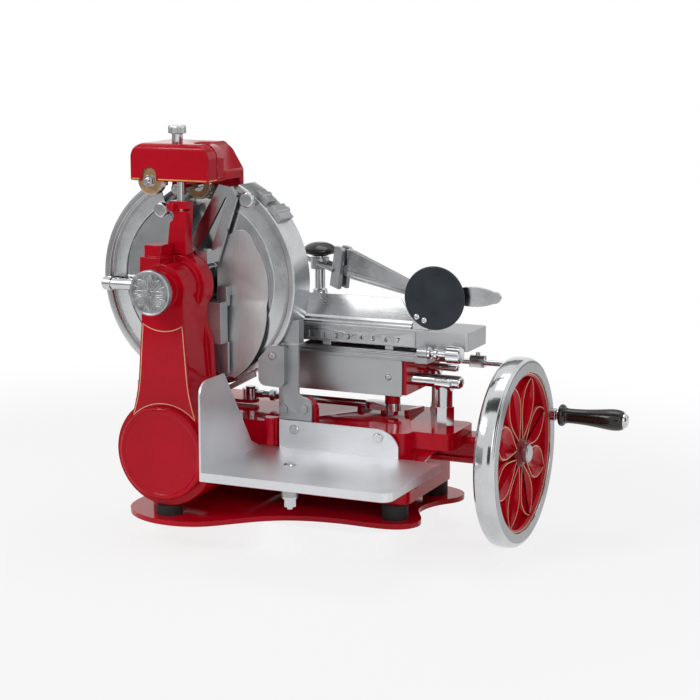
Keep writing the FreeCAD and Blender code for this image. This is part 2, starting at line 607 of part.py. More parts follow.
def grinding_wheel(index):
    """Grinding wheel with its own spindle and nut, turning in the hood's web."""
    x, y, z = STONE_PLACES[index]
    web_y = HOOD_FRONT + 34
    wheel = turned(((0, 0), (STONE_RADIUS - 2, 0), (STONE_RADIUS, 2), (STONE_RADIUS, STONE_WIDTH - 2),
                    (STONE_RADIUS - 2, STONE_WIDTH), (0, STONE_WIDTH)), V(x, y, z), Y_AXIS)
    if y < web_y:
        spindle = bar_y(y - 8, web_y + 16, x, z, 5)
        collar = bar_y(web_y + 8 + SEAT_GAP, web_y + 14, x, z, 8)
        nut = hex_head(V(x, y - 8, z), Y_AXIS, 15, 7)
        button = turned(((0, 0), (6, 0), (6, 3), (4, 6), (0, 6)), V(x, y - 8, z), V(0, -1, 0))
        return fused(wheel, spindle, collar, nut, button)
    spindle = bar_y(web_y - 8, y + 2, x, z, 5)
    collar = bar_y(web_y - 6, web_y - SEAT_GAP, x, z, 8)
    shoulder = bar_y(web_y + 8 + SEAT_GAP, web_y + 13, x, z, 8)
    return fused(wheel, spindle, collar, shoulder)


def lift_screw():
    """Knurled screw on top of the hood."""
    z = HOOD_TOP
    return turned(((0, 0.1), (8.5, 0.1), (8.5, 14), (14, 15), (14, 25), (12.5, 27), (0, 27)),
                  V(-6, LIFT_ROD_Y + 3, z), Z_AXIS)


def cutting_blade():
    """Dished round blade with a ground edge."""
    r = BLADE_RADIUS
    t = BLADE_THICKNESS
    bore = BLADE_SHAFT_DIAMETER / 2
    return turned(((bore, -t), (r - 38, -t), (r - 30, -t + 1.2), (r - 0.3, -0.5), (r, 0),
                   (r - 14, 0), ((r - 24, -1.2), (r - 34, -0.8)), (bore, -0.8)),
                  V(0, BLADE_BACK_Y, BLADE_HEIGHT), Y_AXIS)


def blade_hub():
    """Flanged hub in front of the blade, with its clamp ring of screws."""
    y1 = BLADE_BACK_Y - BLADE_THICKNESS
    bore = BLADE_SHAFT_DIAMETER / 2
    hub = turned(((bore, 0), (40, 0), (40, -6), (30, -8), ((27, -12), (26, -20)), (26, -34), (bore, -34)),
                 V(0, y1, BLADE_HEIGHT), Y_AXIS)
    return hub


def blade_shaft():
    """Blade shaft from the knob's neck to the nut behind the blade."""
    y0 = COLUMN_FRONT - 20
    r = BLADE_SHAFT_DIAMETER / 2
    shaft = bar_y(y0, BLADE_BACK_Y + 3, 0, BLADE_HEIGHT, r)
    nut = turned(((0, 0), (26, 0), (26, 3), (18, 5), (18, 8), ((14, 12), (2, 14)), (0, 14)),
                 V(0, BLADE_BACK_Y - 0.8, BLADE_HEIGHT), Y_AXIS)
    return fused(shaft, nut)


def blade_bearing():
    """Bright sleeve between the column's head and the blade hub."""
    y0, y1 = COLUMN_BACK, BLADE_BACK_Y - BLADE_THICKNESS - 34 - 1
    sleeve = turned(((BLADE_SHAFT_DIAMETER / 2 + RUNNING_GAP, 0), (34, 0), (34, 8), (28, 12),
                     (28, y1 - y0), (BLADE_SHAFT_DIAMETER / 2 + RUNNING_GAP, y1 - y0)),
                    V(0, y0, BLADE_HEIGHT), Y_AXIS)
    return sleeve


def mouth_wedge(depth0, depth1):
    """Wedge over the top of the guard, where the sharpener reaches the blade."""
    reach = 400
    half = math.tan(math.radians(GUARD_MOUTH_ANGLE)) * reach
    return plate_y(((0, BLADE_HEIGHT), (half, BLADE_HEIGHT + reach), (-half, BLADE_HEIGHT + reach)),
                   depth0, depth1)


def blade_guard():
    """Polished guard: dished front ring and a deep round skirt, open at the top."""
    r0 = GUARD_OUTER - GUARD_FACE_WIDTH
    r1, t = GUARD_OUTER, GUARD_WALL
    ring = turned(((r0, COVER_Y - 1), (r0 + 22, COVER_Y + 2), (r1 - 11, COVER_Y), (r1 - 9, 0), (r1 - 2, 0),
                   (r1, 2), (r1, GUARD_BACK_Y), (r1 - t, GUARD_BACK_Y), (r1 - t, 4), (r1 - 8, 4),
                   (r1 - 9, COVER_Y + 3), (r0 + 22, COVER_Y + 5),
                   (r0 + 12, COVER_Y + COVER_THICKNESS), (r0, COVER_Y + COVER_THICKNESS)),
                  V(0, 0, BLADE_HEIGHT), Y_AXIS)
    ring = ring.cut(mouth_wedge(-5, GUARD_BACK_Y + 5))
    return ring


def blade_cover():
    """Round cover plate inside the guard ring, cut away under the sharpener."""
    r = GUARD_OUTER - GUARD_FACE_WIDTH - COVER_GAP
    disc = bar_y(COVER_Y, COVER_Y + COVER_THICKNESS, 0, BLADE_HEIGHT, r)
    disc = disc.cut(bar_y(COVER_Y - 1, COVER_Y + 9, 0, BLADE_HEIGHT, 40))
    return disc.cut(mouth_wedge(COVER_Y - 1, COVER_Y + 9))


def cover_braces():
    """Flat braces behind the ring that carry the cover plate."""
    r0 = GUARD_OUTER - GUARD_FACE_WIDTH
    y0 = COVER_Y + COVER_THICKNESS
    braces = []
    for angle in (-35, -145, 30, 150):
        brace = block(r0 - 26, r0 + 9, y0, y0 + 3, BLADE_HEIGHT - 8, BLADE_HEIGHT + 8)
        brace.rotate(V(0, 0, BLADE_HEIGHT), Y_AXIS, -angle)
        braces.append(brace)
    return Part.makeCompound(braces)


def guard_arm():
    """Round arm from the column's head to the left side of the guard."""
    y = -13.0
    x0 = -GUARD_OUTER + 8
    z = BLADE_HEIGHT - 12
    bar = bar_x(x0, -36, y, z, 9)
    cap = turned(((0, 0), (11, 0), (11, -12), (10, -14), (0, -14)), V(x0 + 14, y, z), X_AXIS)
    foot = block(-60, -36, COLUMN_BACK, y, z - 11, z + 11)
    foot = foot.common(bar_y(COLUMN_BACK, y + 1, 0, BLADE_HEIGHT, HEAD_RADIUS))
    seat = block(x0 - 3, x0 + 20, y, 0.0, z - 8, z + 8)
    return fused(bar, cap, foot, seat)


def guard_knob(x, z, seat):
    """Small round knob with a stepped foot; the seat is the face it stands on."""
    y = seat - SEAT_GAP
    return turned(((0, 0), (6, 0), (6, 6), (12, 8), (12, 15), ((10.5, 17.5), (8, 18)), (0, 18)),
                  V(x, y, z), V(0, -1, 0))


def guard_latch():
    """Hinge blocks on the guard's upper right edge."""
    parts = []
    for angle, depth in ((50, 26), (39, 40)):
        piece = block(GUARD_OUTER - 0.5, GUARD_OUTER + 9, 3, 3 + depth, BLADE_HEIGHT - 13, BLADE_HEIGHT + 13)
        pin = bar_y(1, 5 + depth, GUARD_OUTER + 6, BLADE_HEIGHT + 2, 5)
        piece = fused(piece, pin).cut(bar_y(0, 60, 0, BLADE_HEIGHT, GUARD_OUTER + 0.02))
        piece.rotate(V(0, 0, BLADE_HEIGHT), Y_AXIS, -angle)
        parts.append(piece)
    return Part.makeCompound(parts)


def ring_stays():
    """Two inclined flat stays from the column's head up to the ring beside the sharpener."""
    y0, y1 = -9.0, -3.0
    z = BLADE_HEIGHT + HEAD_RADIUS
    middle, left_top, right_top = on_ring(23.3, 9.2), on_ring(16.4, 9.7), on_ring(29.5, 15.5)
    left = plate_y(((-14, z + 2), (6, z - 2), middle, left_top), y0, y1)
    right = plate_y(((24, z - 12), (40, z - 16), right_top, middle), y0, y1)
    foot = block(-14, 36, COLUMN_BACK, y1, z - 16, z + 3)
    foot = foot.cut(bar_y(COLUMN_BACK - 5, y1 + 5, 0, BLADE_HEIGHT, HEAD_RADIUS - 12))
    bridge = plate_y((left_top, on_ring(23.5, 25.4), right_top, on_ring(22.9, 6.5)), y0, y1)
    seat = plate_y((on_ring(19.6, 11), on_ring(22.8, 21.7), on_ring(28.7, 12), on_ring(23.5, 5.7)),
                   y1 - 0.5, 0)
    return fused(left, right, foot, bridge, seat)


def deflector_plate():
    """Deflector in one bent sheet: flat above, and bellied below towards the plate."""
    z = BLADE_HEIGHT
    z0, z1, z2 = z - 147, z - 23, z + 81
    y_flat = COVER_Y - 3.0
    t = 2.5
    side = plate_x(((y_flat, z2), (y_flat, z1), ((y_flat - 9, z1 - 66), (y_flat - 8, z0)),
                    (y_flat - 8 + t, z0), ((y_flat - 9 + t, z1 - 66), (y_flat + t, z1)),
                    (y_flat + t, z2)), 24, 122)
    front = plate_y(((30, z0 + 8), (66, z0), ((106, z0 + 44), (118, z1 - 10)),
                     ((114, z + 27), (96, z + 61)), ((80, z2 - 1), (62, z + 77)),
                     ((42, z + 61), (34, z + 27))), -40, 40)
    return side.common(front)


def deflector_bracket():
    """Box bracket with a hanging strip between the column's head and the deflector."""
    z = BLADE_HEIGHT
    box = block(30, 58, COLUMN_BACK, -12, z - 91, z - 27)
    box = box.cut(block(34, 54, COLUMN_BACK + 5, -11, z - 85, z - 33))
    strip = block(46, 62, -19, -14, z - 139, z - 89)
    neck = block(42, 58, -14, -3, z - 35, z - 5)
    pad = block(42, 58, -3.5, COVER_Y - 3, z - 20, z - 5)
    return fused(box, strip, neck, pad)


def lower_guard():
    """Bright bar along the guard's lower right edge."""
    bar = plate_y((on_ring(162.9, -3.5), on_ring(161.5, -10.1), on_ring(144.3, -8.8), on_ring(143.1, -0.4)),
                  -8, -2)
    lug = plate_y((on_ring(155.1, -4.9), on_ring(148.2, -4.7), on_ring(147.5, 5.9), on_ring(155, 4.9)), -3, 0)
    return fused(bar, lug)


def guard_strut():
    """Upright flat strut from the bed's lug to the guard."""
    y0, y1 = BED_FRONT - 5, BED_FRONT
    x, low, top = STRUT_LEFT, BED_TOP, STRUT_TOP
    body = plate_y(((x, low + 2), (x + 55, low + 2), (x + 55, low + 32),
                    ((x + 50, low + 41), (x + 39, low + 44)), (x + 33, low + 48), (x + 33, top),
                    (x + 6, top), (x, top - 12)), y0, y1)
    lip = block(x + 6, x + 33, y0, y0 + 26, top - 3, top + 2)
    return fused(body, lip)


def strut_lock():
    """Rounded lock plate in front of the ring, screwed to the strut."""
    x, z = STRUT_LEFT, STRUT_TOP
    piece = plate_y(((x - 29, z - 22), (x - 9, z), (x + 15, z), (x + 15, z - 52),
                     ((x + 12, z - 60), (x + 4, z - 64)), (x - 17, z - 63),
                     ((x - 26, z - 59), (x - 29, z - 50))), -9, 0)
    spacer = block(x + 2, x + 15, -1, BED_FRONT - 5, z - 56, z - 4)
    head = turned(((0, 0), (6, 0), (6, 2), ((5, 3.5), (2, 4)), (0, 4)), V(x - 5, -9, z - 16), V(0, -1, 0))
    return fused(piece, spacer, head)


def guard_seat():
    """Saddle under the guard's skirt, carried by the strut's lip."""
    x, z = STRUT_LEFT, STRUT_TOP + 2
    saddle = block(x - 9, x + 31, BED_FRONT + 1, BED_FRONT + 19, z, z + 36)
    saddle = saddle.cut(bar_y(0, BLADE_BACK_Y, 0, BLADE_HEIGHT, GUARD_OUTER))
    outside = [s for s in saddle.Solids if s.BoundBox.XMax > x + 23]
    return max(outside, key=lambda s: s.Volume)


def strut_screws():
    """Hexagon screws of the strut and slotted screws of the back wall."""
    heads = []
    for dx, dz in ((9, 23), (43, 26)):
        place = V(STRUT_LEFT + dx, BED_FRONT - 5, BED_TOP + dz)
        heads.append(hex_head(place, V(0, -1, 0), 13, 6))
    return Part.makeCompound(heads)


def receiving_plate():
    """Folded plate that catches the slices, with its side wall and back wall."""
    t = PLATE_SHEET
    corner = ((PLATE_LEFT, PLATE_FRONT), (PLATE_RIGHT - 16, PLATE_FRONT),
              ((PLATE_RIGHT - 4.7, PLATE_FRONT + 4.7), (PLATE_RIGHT, PLATE_FRONT + 16)),
              (PLATE_RIGHT, 0), (PLATE_LEFT, 0))
    inner = ((PLATE_LEFT + t, PLATE_FRONT + t), (PLATE_RIGHT - 16, PLATE_FRONT + t),
             ((PLATE_RIGHT - 6.8, PLATE_FRONT + 6.8), (PLATE_RIGHT - t, PLATE_FRONT + 16)),
             (PLATE_RIGHT - t, -t), (PLATE_LEFT + t, -t))
    floor = plate_z(corner, PLATE_TOP - PLATE_RIM, PLATE_TOP)
    floor = floor.cut(plate_z(inner, PLATE_TOP - PLATE_RIM - 1, PLATE_TOP - t))
    top = PLATE_TOP + SIDE_WALL_HEIGHT
    side = plate_x(((PLATE_FRONT, PLATE_TOP - 1), (-2, PLATE_TOP - 1), (-36, PLATE_TOP + 14),
                    (-120, top), (-172, top), ((-188, top - 6), (PLATE_FRONT, top - 24))),
                   PLATE_LEFT, PLATE_LEFT + t)
    back_top = PLATE_TOP + BACK_WALL_HEIGHT
    back = plate_y(((140, PLATE_TOP - 1), (337, PLATE_TOP - 1), (337, PLATE_TOP + 18),
                    ((326, PLATE_TOP + 34), (300, back_top)), (140, back_top)), -t, 0)
    body = fused(floor, side, back)
    for x in PLATE_SCREWS_X:
        body = body.cut(bar_y(-10, 5, x, PLATE_TOP + 30, 3 + BOLT_PLAY))
    return body.cut(bar_z(0, PLATE_TOP + 1, PLATE_BOLT_X, PLATE_BOLT_Y, BOLT_R + BOLT_PLAY))


def plate_screws():
    """Screws through the back wall and its spacers against the bed."""
    screws = []
    for x in PLATE_SCREWS_X:
        z = PLATE_TOP + 30
        end = BED_FRONT + PLATE_SHEET
        screws.append(turned(((0, -4), (6.5, -4), (7.5, -3), (7.5, 0), (3, 0), (3, PLATE_SHEET),
                              (7, PLATE_SHEET), (7, end), (0, end)), V(x, -PLATE_SHEET, z), Y_AXIS))
    return Part.makeCompound(screws)


def plate_arm():
    """Arm from the bed under the receiving plate."""
    z1 = PLATE_TOP - PLATE_SHEET
    y0, y1 = PLATE_BOLT_Y - 16, PLATE_BOLT_Y + 16
    arm = plate_x(((BED_FRONT, z1 - 41), (BED_FRONT, z1 - 11), (-1, z1 - 11), (-1, z1 - 19), (y1, z1 - 8),
                   (y1, z1), (y0, z1), (y0, z1 - 23), (y1, z1 - 23), (-56, z1 - 37)),
                  PLATE_BOLT_X - 15, PLATE_BOLT_X + 15)
    arm = fused(arm, bar_z(z1 - PLATE_BOSS, z1 - 20, PLATE_BOLT_X, PLATE_BOLT_Y, 13))
    hole = bar_z(z1 - PLATE_BOSS - 1, z1 + 1, PLATE_BOLT_X, PLATE_BOLT_Y, BOLT_R + BOLT_PLAY)
    return arm.cut(hole)


def plate_bolt():
    """Bolt, washer and nut that hold the plate to its arm."""
    x, y, z = PLATE_BOLT_X, PLATE_BOLT_Y, PLATE_TOP
    seat = PLATE_TOP - PLATE_SHEET - PLATE_BOSS
    head = turned(((0, 0), (9, 0), (9, 1.5), (6, 3), (0, 3)), V(x, y, z), Z_AXIS)
    shank = bar_z(seat - 20, z, x, y, BOLT_R)
    washer = bar_z(seat - 3, seat, x, y, 13)
    nut = hex_head(V(x, y, seat - 16), Z_AXIS, 17, 13)
    return fused(head, shank, washer, nut)


def chain_loop():
    """Drive chain: two rows of side plates joined by pins on the straight runs."""
    r0 = CHAIN_PITCH * LOWER_SPROCKET_TEETH / (2 * math.pi)
    r1 = CHAIN_PITCH * UPPER_SPROCKET_TEETH / (2 * math.pi)
    gap = BLADE_HEIGHT - SHAFT_HEIGHT
    tilt = math.asin((r0 - r1) / gap)

    def loop(extra, y, width):
        points = []
        a, b = r0 + extra, r1 + extra
        low, high = SHAFT_HEIGHT, BLADE_HEIGHT
        c, s = math.cos(tilt), math.sin(tilt)
        points.append((a * c, low + a * s))
        points.append((b * c, high + b * s))
        points.append(((0, high + b), (-b * c, high + b * s)))
        points.append((-a * c, low + a * s))
        points.append(((0, low - a), (a * c, low + a * s)))
        return plate_y(points[:4] + [points[4]], y, y + width)

    def band(y):
        return loop(3.5, y, 1.2).cut(loop(-3.5, y - 1, 4))

    y = CHAIN_Y
    sides = [band(y - 4.6), band(y + 3.4)]
    pins = []
    for i in range(8):
        share = (i + 2.0) / 11
        x = (r0 + (r1 - r0) * share) * math.cos(tilt)
        z = SHAFT_HEIGHT + r0 * math.sin(tilt) + (gap + (r1 - r0) * math.sin(tilt)) * share
        for side in (-1, 1):
            pins.append(bar_y(y - 4.6, y + 4.6, side * x, z, 2.4))
    return fused(*(sides + pins))


def sprocket(teeth, z, bore):
    """Sprocket with its hub."""
    radius = CHAIN_PITCH * teeth / (2 * math.pi)
    wheel = toothed(radius, teeth, 6.0, 5.0, V(0, CHAIN_Y - 2.5, z), Y_AXIS)
    hub = bar_y(CHAIN_Y - 3, CHAIN_Y + 18, 0, z, bore + 3.5)
    return fused(wheel, hub).cut(bar_y(CHAIN_Y - 9, CHAIN_Y + 30, 0, z, bore))


def cross_shaft():
    """Shaft along Y that takes the drive from the bed into the column."""
    y0 = CHAIN_Y - 14
    y1 = SHAFT_Y - SHAFT_R - 5
    return bar_y(y0, y1, 0, SHAFT_HEIGHT, SHAFT_R)


def mitre_gear():
    """Bevel gear on the cross shaft."""
    apex = V(0, SHAFT_Y, SHAFT_HEIGHT)
    gear = bevel_gear(apex, V(0, -1, 0), MITRE_RADIUS, MITRE_RADIUS, 0.4, MITRE_TEETH)
    hub = bar_y(SHAFT_Y - MITRE_RADIUS - 14, SHAFT_Y - MITRE_RADIUS, 0, SHAFT_HEIGHT, SHAFT_R + 7)
    return fused(gear, hub).cut(bar_y(0, BED_BACK, 0, SHAFT_HEIGHT, SHAFT_R))


def main_shaft():
    """Flywheel shaft through the arm and the bed."""
    x0 = CRANK_X + CRANK_GEAR_RADIUS - 26
    return bar_x(x0, WHEEL_FRONT_X - 1, SHAFT_Y, SHAFT_HEIGHT, SHAFT_R)


def shaft_pinions():
    """The two bevel pinions on the flywheel shaft."""
    apex = V(0, SHAFT_Y, SHAFT_HEIGHT)
    mitre = bevel_gear(apex, X_AXIS, MITRE_RADIUS, MITRE_RADIUS, 0.4, MITRE_TEETH)
    hub = bar_x(MITRE_RADIUS, MITRE_RADIUS + 14, SHAFT_Y, SHAFT_HEIGHT, SHAFT_R + 7)
    mitre = fused(mitre, hub)
    apex2 = V(CRANK_X, SHAFT_Y, SHAFT_HEIGHT)
    crank = bevel_gear(apex2, X_AXIS, CRANK_PINION_RADIUS, CRANK_GEAR_RADIUS, 0.38, 14)
    x1 = CRANK_X + CRANK_GEAR_RADIUS
    crank = fused(crank, bar_x(x1, x1 + 12, SHAFT_Y, SHAFT_HEIGHT, SHAFT_R + 5))
    bore = bar_x(BED_LEFT, BED_RIGHT, SHAFT_Y, SHAFT_HEIGHT, SHAFT_R)
    return Part.makeCompound([mitre.cut(bore), crank.cut(bore)])


def crank_gear():
    """Bevel gear that turns the crank."""
    apex = V(CRANK_X, SHAFT_Y, SHAFT_HEIGHT)
    gear = bevel_gear(apex, Z_AXIS, CRANK_GEAR_RADIUS, CRANK_PINION_RADIUS, 0.38, 21)
    z = SHAFT_HEIGHT + CRANK_PINION_RADIUS
    gear = fused(gear, bar_z(z, z + 2.5, CRANK_X, SHAFT_Y, CRANK_SHAFT_DIAMETER / 2 + 6))
    return gear.cut(bar_z(0, BED_TOP, CRANK_X, SHAFT_Y, CRANK_SHAFT_DIAMETER / 2))


def crank_arm():
    """Crank arm with its upright shaft; the pin belongs to the rod."""
    z0 = BED_TOP + CRANK_BOSS_HEIGHT + SEAT_GAP
    z1 = ROD_Z - CRANK_EYE_HEIGHT / 2 - SEAT_GAP
    arm = plate_z(slot(CRANK_X, PIN_X, SHAFT_Y, 14), z0, z1)
    shaft = bar_z(SHAFT_HEIGHT + CRANK_PINION_RADIUS - 6, z1, CRANK_X, SHAFT_Y, CRANK_SHAFT_DIAMETER / 2)
    hub = bar_z(z0, z1, CRANK_X, SHAFT_Y, 20)
    return fused(arm, shaft, hub)


def flywheel_rim():
    """Heavy chrome rim with a crowned tread."""
    r, w = WHEEL_RADIUS, FLYWHEEL_WIDTH
    return turned(((RIM_INNER, 0), (r - 7, 0), ((r - 2.2, 2.2), (r - 1, 8)), ((r, w / 2), (r - 1, w - 8)),
                   ((r - 2.2, w - 2.2), (r - 7, w)), (RIM_INNER, w)),
                  V(FLYWHEEL_BACK_X, SHAFT_Y, SHAFT_HEIGHT), X_AXIS)


def petal(start, end, half, x0, x1):
    """One pointed petal standing upright from the hub, widest near its outer end."""
    reach = end - start
    wide = start + 0.72 * reach
    y, z = SHAFT_Y, SHAFT_HEIGHT
    return plate_x(((y, z + start), ((y + half * 0.42, z + start + 0.38 * reach), (y + half, z + wide)),
                    ((y + half * 0.72, z + wide + 0.2 * reach), (y, z + end)),
                    ((y - half * 0.72, z + wide + 0.2 * reach), (y - half, z + wide)),
                    ((y - half * 0.42, z + start + 0.38 * reach), (y, z + start))), x0, x1)


def flywheel_centre():
    """Red cast centre: hub, eight hollowed petals, thin web and the ring that seats in the rim."""
    x0, x1 = FLYWHEEL_BACK_X + 8, FLYWHEEL_BACK_X + 30
    centre = V(x0, SHAFT_Y, SHAFT_HEIGHT)
    r = RIM_INNER
    ring = turned(((r - 7, 0), (r, 0), (r, x1 - x0), (r - 7, x1 - x0)), centre, X_AXIS)
    web = turned(((WEB_INNER, 4), (r - 5, 4), (r - 5, 9), (WEB_INNER, 9)), centre, X_AXIS)
    hub = turned(((SHAFT_R, -8), (20, -8), (22, 0), (24, 14), (19, 24), (SHAFT_R, 24)), centre, X_AXIS)
    shapes = [ring, web, hub]
    for i in range(PETALS):
        shape = petal(12, r - 3, 30, x0 + 2, x1 - 4).cut(petal(28, r - 10, 22, x0 + 7, x1))
        shape.rotate(centre, X_AXIS, 360.0 / PETALS * (i + 0.5))
        shapes.append(shape.cut(bar_x(x0 - 1, x1, SHAFT_Y, SHAFT_HEIGHT, SHAFT_R + 4)))
    return fused(*shapes)


def wheel_nut():
    """Bright nut at the end of the flywheel shaft."""
    x = WHEEL_FRONT_X - 1
    nut = turned(((0, 0), (14, 0), (14, 6), (12, 8), (0, 8)), V(x, SHAFT_Y, SHAFT_HEIGHT), X_AXIS)
    return nut


def grip_spindle():
    """Chrome spindle screwed into the wheel's rim, with its shoulder."""
    x0 = WHEEL_FRONT_X
    y, z = GRIP_Y, GRIP_Z
    shoulder = turned(((0, 0), (10, 0), (10, 8), (8, 10), (8, 13), (0, 13)), V(x0, y, z), X_AXIS)
    pin = bar_x(x0, x0 + 13 + 2 * SEAT_GAP + GRIP_LENGTH, y, z, 5)
    return fused(shoulder, pin)


def crank_grip():
    """Turned grip with a collar and a swelling end, free to spin on the spindle."""
    x0 = WHEEL_FRONT_X + 13 + SEAT_GAP
    bore = 5 + RUNNING_GAP
    n = GRIP_LENGTH
    return turned(((bore, 0), (13, 0), ((17.5, 3), (17.5, 6)), ((16, 10), (12.5, 11)), (11.5, 13),
                   ((12.3, n * 0.4), (15.6, n * 0.72)), ((17, n * 0.84), (14.5, n - 2)), (13, n), (bore, n)),
                  V(x0, GRIP_Y, GRIP_Z), X_AXIS)


def grip_cap():
    """Bright end cap of the spindle."""
    x0 = WHEEL_FRONT_X + 13 + 2 * SEAT_GAP + GRIP_LENGTH
    return turned(((0, 0), (11.5, 0), (11.5, 2), ((9, 5), (2, 6.5)), (0, 6.5)), V(x0, GRIP_Y, GRIP_Z), X_AXIS)


def rosette_knob():
    """Round knob on the blade's axis with eight raised petals."""
    y = COLUMN_FRONT - 22 - SEAT_GAP
    r, d = ROSETTE_RADIUS, ROSETTE_DEPTH
    body = turned(((0, 0), (r - 8, 0), (r - 2, 3), (r, 5), (r, d - 3), ((r - 1, d - 1), (r - 3, d)),
                   (r - 5, d), (r - 7, d - 1.6), (0, d - 1.6)), V(0, y, BLADE_HEIGHT), V(0, -1, 0))
    shapes = [body, bar_y(y - d - 0.6, y - d + 2, 0, BLADE_HEIGHT, 4)]
    for i in range(PETALS):
        leaf = plate_y(((0, BLADE_HEIGHT + 3), ((5.5, BLADE_HEIGHT + 17), (0, BLADE_HEIGHT + r - 8)),
                        ((-5.5, BLADE_HEIGHT + 17), (0, BLADE_HEIGHT + 3))), y - d - 0.4, y - d + 2)
        leaf.rotate(V(0, 0, BLADE_HEIGHT), Y_AXIS, 360.0 / PETALS * i)
        shapes.append(leaf)
    return fused(*shapes)


def bar_bracket():
    """Bracket on the column's back that carries the left ends of both slide bars."""
    x0, x1 = BARS_LEFT, BARS_LEFT + 28
    z1 = BLADE_HEIGHT - math.sqrt(GUARD_OUTER ** 2 - x1 ** 2) - 4
    z0 = z1 - 19
    foot = block(x0, x1 + 22, COLUMN_BACK, COLUMN_BACK + 8, z0 - 4, z1)
    beam = block(x0, x1, COLUMN_BACK, REAR_BAR_Y + 14, z0, z1)
    front = block(x0, x1, FRONT_BAR_Y - 16, FRONT_BAR_Y + 16, z1 - 1, FRONT_BAR_Z + 15)
    rear = block(x0, x1, REAR_BAR_Y - 12, REAR_BAR_Y + 12, z1 - 1, REAR_BAR_Z + 10)
    body = fused(foot, beam, front, rear)
    body = body.cut(bar_x(x0 + 4, x1 + 1, FRONT_BAR_Y, FRONT_BAR_Z, FRONT_BAR_DIAMETER / 2))
    return body.cut(bar_x(x0 + 4, x1 + 1, REAR_BAR_Y, REAR_BAR_Z, REAR_BAR_DIAMETER / 2))


def slide_bar(y, z, diameter, end):
    """Ground slide bar with a round nose."""
    r = diameter / 2
    start = BARS_LEFT + 4
    length = end - start
    nose = ((r * 0.8, length - r * 0.2), (1, length))
    return turned(((0, 0), (r, 0), (r, length - r * 0.6), nose, (0, length)), V(start, y, z), X_AXIS)


def bar_column(x, y, z, bar_r, radius, foot_z):
    """Upright column under a slide bar, hexagonal at the foot."""
    foot = hex_head(V(x, y, BED_TOP), Z_AXIS, radius * 2 + 2, foot_z - BED_TOP)
    stem = bar_z(foot_z - 1, z, x, y, radius)
    cradle = bar_x(x - radius, x + radius, y, z, bar_r + 4)
    reach = bar_r + radius
    cradle = cradle.cut(block(x - reach, x + reach, y - reach, y + reach, z + 2, z + reach))
    return fused(foot, stem, cradle).cut(bar_x(x - 2 * radius, x + 2 * radius, y, z, bar_r + RUNNING_GAP))


def carriage_casting():
    """Hollow carriage, open below, with bosses for both slide bars and for the rod."""
    x0, x1 = CARRIAGE_LEFT, CARRIAGE_RIGHT
    y0, y1 = CARRIAGE_FRONT + CARRIAGE_COVER, CARRIAGE_BACK
    w = CARRIAGE_WALL
    outer = block(x0, x1, y0, y1, CARRIAGE_BOTTOM, CARRIAGE_TOP)
    inner = block(x0 + w, x1 - w, y0 + w, y1 - w, CARRIAGE_BOTTOM - 1, CARRIAGE_TOP - w)
    shapes = [outer.cut(inner)]
    for x in (x0 + w, x1 - w - 26):
        shapes.append(block(x, x + 26, y0 + 2, FRONT_BAR_Y + 17, CARRIAGE_BOTTOM + 4, CARRIAGE_TOP - 2))
        shapes.append(block(x, x + 26, REAR_BAR_Y - 14, REAR_BAR_Y + 14, CARRIAGE_BOTTOM + 12,
                            CARRIAGE_TOP - 2))
    shapes.append(bar_z(ROD_Z + ROD_EYE_HEIGHT / 2 + SEAT_GAP, CARRIAGE_TOP - 2, BOSS_X, SHAFT_Y, 12))
    shapes.append(block(BOSS_X - 4, BOSS_X + 4, FRONT_BAR_Y + 10, y1 - 2, CARRIAGE_BOTTOM + 26,
                        CARRIAGE_TOP - 2))
    body = fused(*shapes)
    body = body.cut(bar_x(x0 - 1, x1 + 1, FRONT_BAR_Y, FRONT_BAR_Z, FRONT_BAR_DIAMETER / 2 + RUNNING_GAP))
    body = body.cut(bar_x(x0 - 1, x1 + 1, REAR_BAR_Y, REAR_BAR_Z, REAR_BAR_DIAMETER / 2 + RUNNING_GAP))
    shaft = bar_x(FEED_LEFT - 5, x1 + 1, FEED_Y, FEED_Z, FEED_R + RUNNING_GAP)
    return body.cut(shaft)


def carriage_cover():
    """Gray front plate of the carriage."""
    return plate_y(rounded(CARRIAGE_LEFT, CARRIAGE_RIGHT - 6, CARRIAGE_BOTTOM - 2, CARRIAGE_TOP, 3),
                   CARRIAGE_FRONT, CARRIAGE_FRONT + CARRIAGE_COVER)


def cover_screw():
    """Round screw of the carriage's front plate."""
    place = V(CARRIAGE_RIGHT - 28, CARRIAGE_FRONT, CARRIAGE_BOTTOM + 27)
    return turned(((0, 0), (5, 0), (5, 1), ((4, 2.2), (1.5, 3)), (0, 3)), place, V(0, -1, 0))


def carriage_top():
    """Top slide of the carriage with its stepped front ledge."""
    x0, x1 = CARRIAGE_LEFT + 3, CARRIAGE_RIGHT + 23
    y0 = CARRIAGE_FRONT
    side = plate_x(((y0 - 3, CARRIAGE_TOP), (CARRIAGE_BACK, CARRIAGE_TOP), (CARRIAGE_BACK, TOP_PLATE_Z),
                    (y0 + 1, TOP_PLATE_Z), (y0 + 1, TOP_PLATE_Z - 3), (y0 - 1, TOP_PLATE_Z - 4),
                    (y0 - 1, TOP_PLATE_Z - 8), (y0 - 3, TOP_PLATE_Z - 9)), x0, x1)
    grooves = [block(x, x + 5, y0 + 12, CARRIAGE_BACK - 12, TOP_PLATE_Z - 2, TOP_PLATE_Z + 1)
               for x in (x0 + 18, x1 - 23)]
    return side.cut(grooves[0]).cut(grooves[1])


def rod_pin():
    """Shouldered pin under the carriage's boss that the rod swings on."""
    z1 = ROD_Z + ROD_EYE_HEIGHT / 2 + SEAT_GAP
    z0 = ROD_Z - ROD_EYE_HEIGHT / 2 - SEAT_GAP
    pin = bar_z(z0 - 1, z1, BOSS_X, SHAFT_Y, ROD_PIN_R)
    return fused(pin, hex_head(V(BOSS_X, SHAFT_Y, z0 - 7), Z_AXIS, 16, 7))


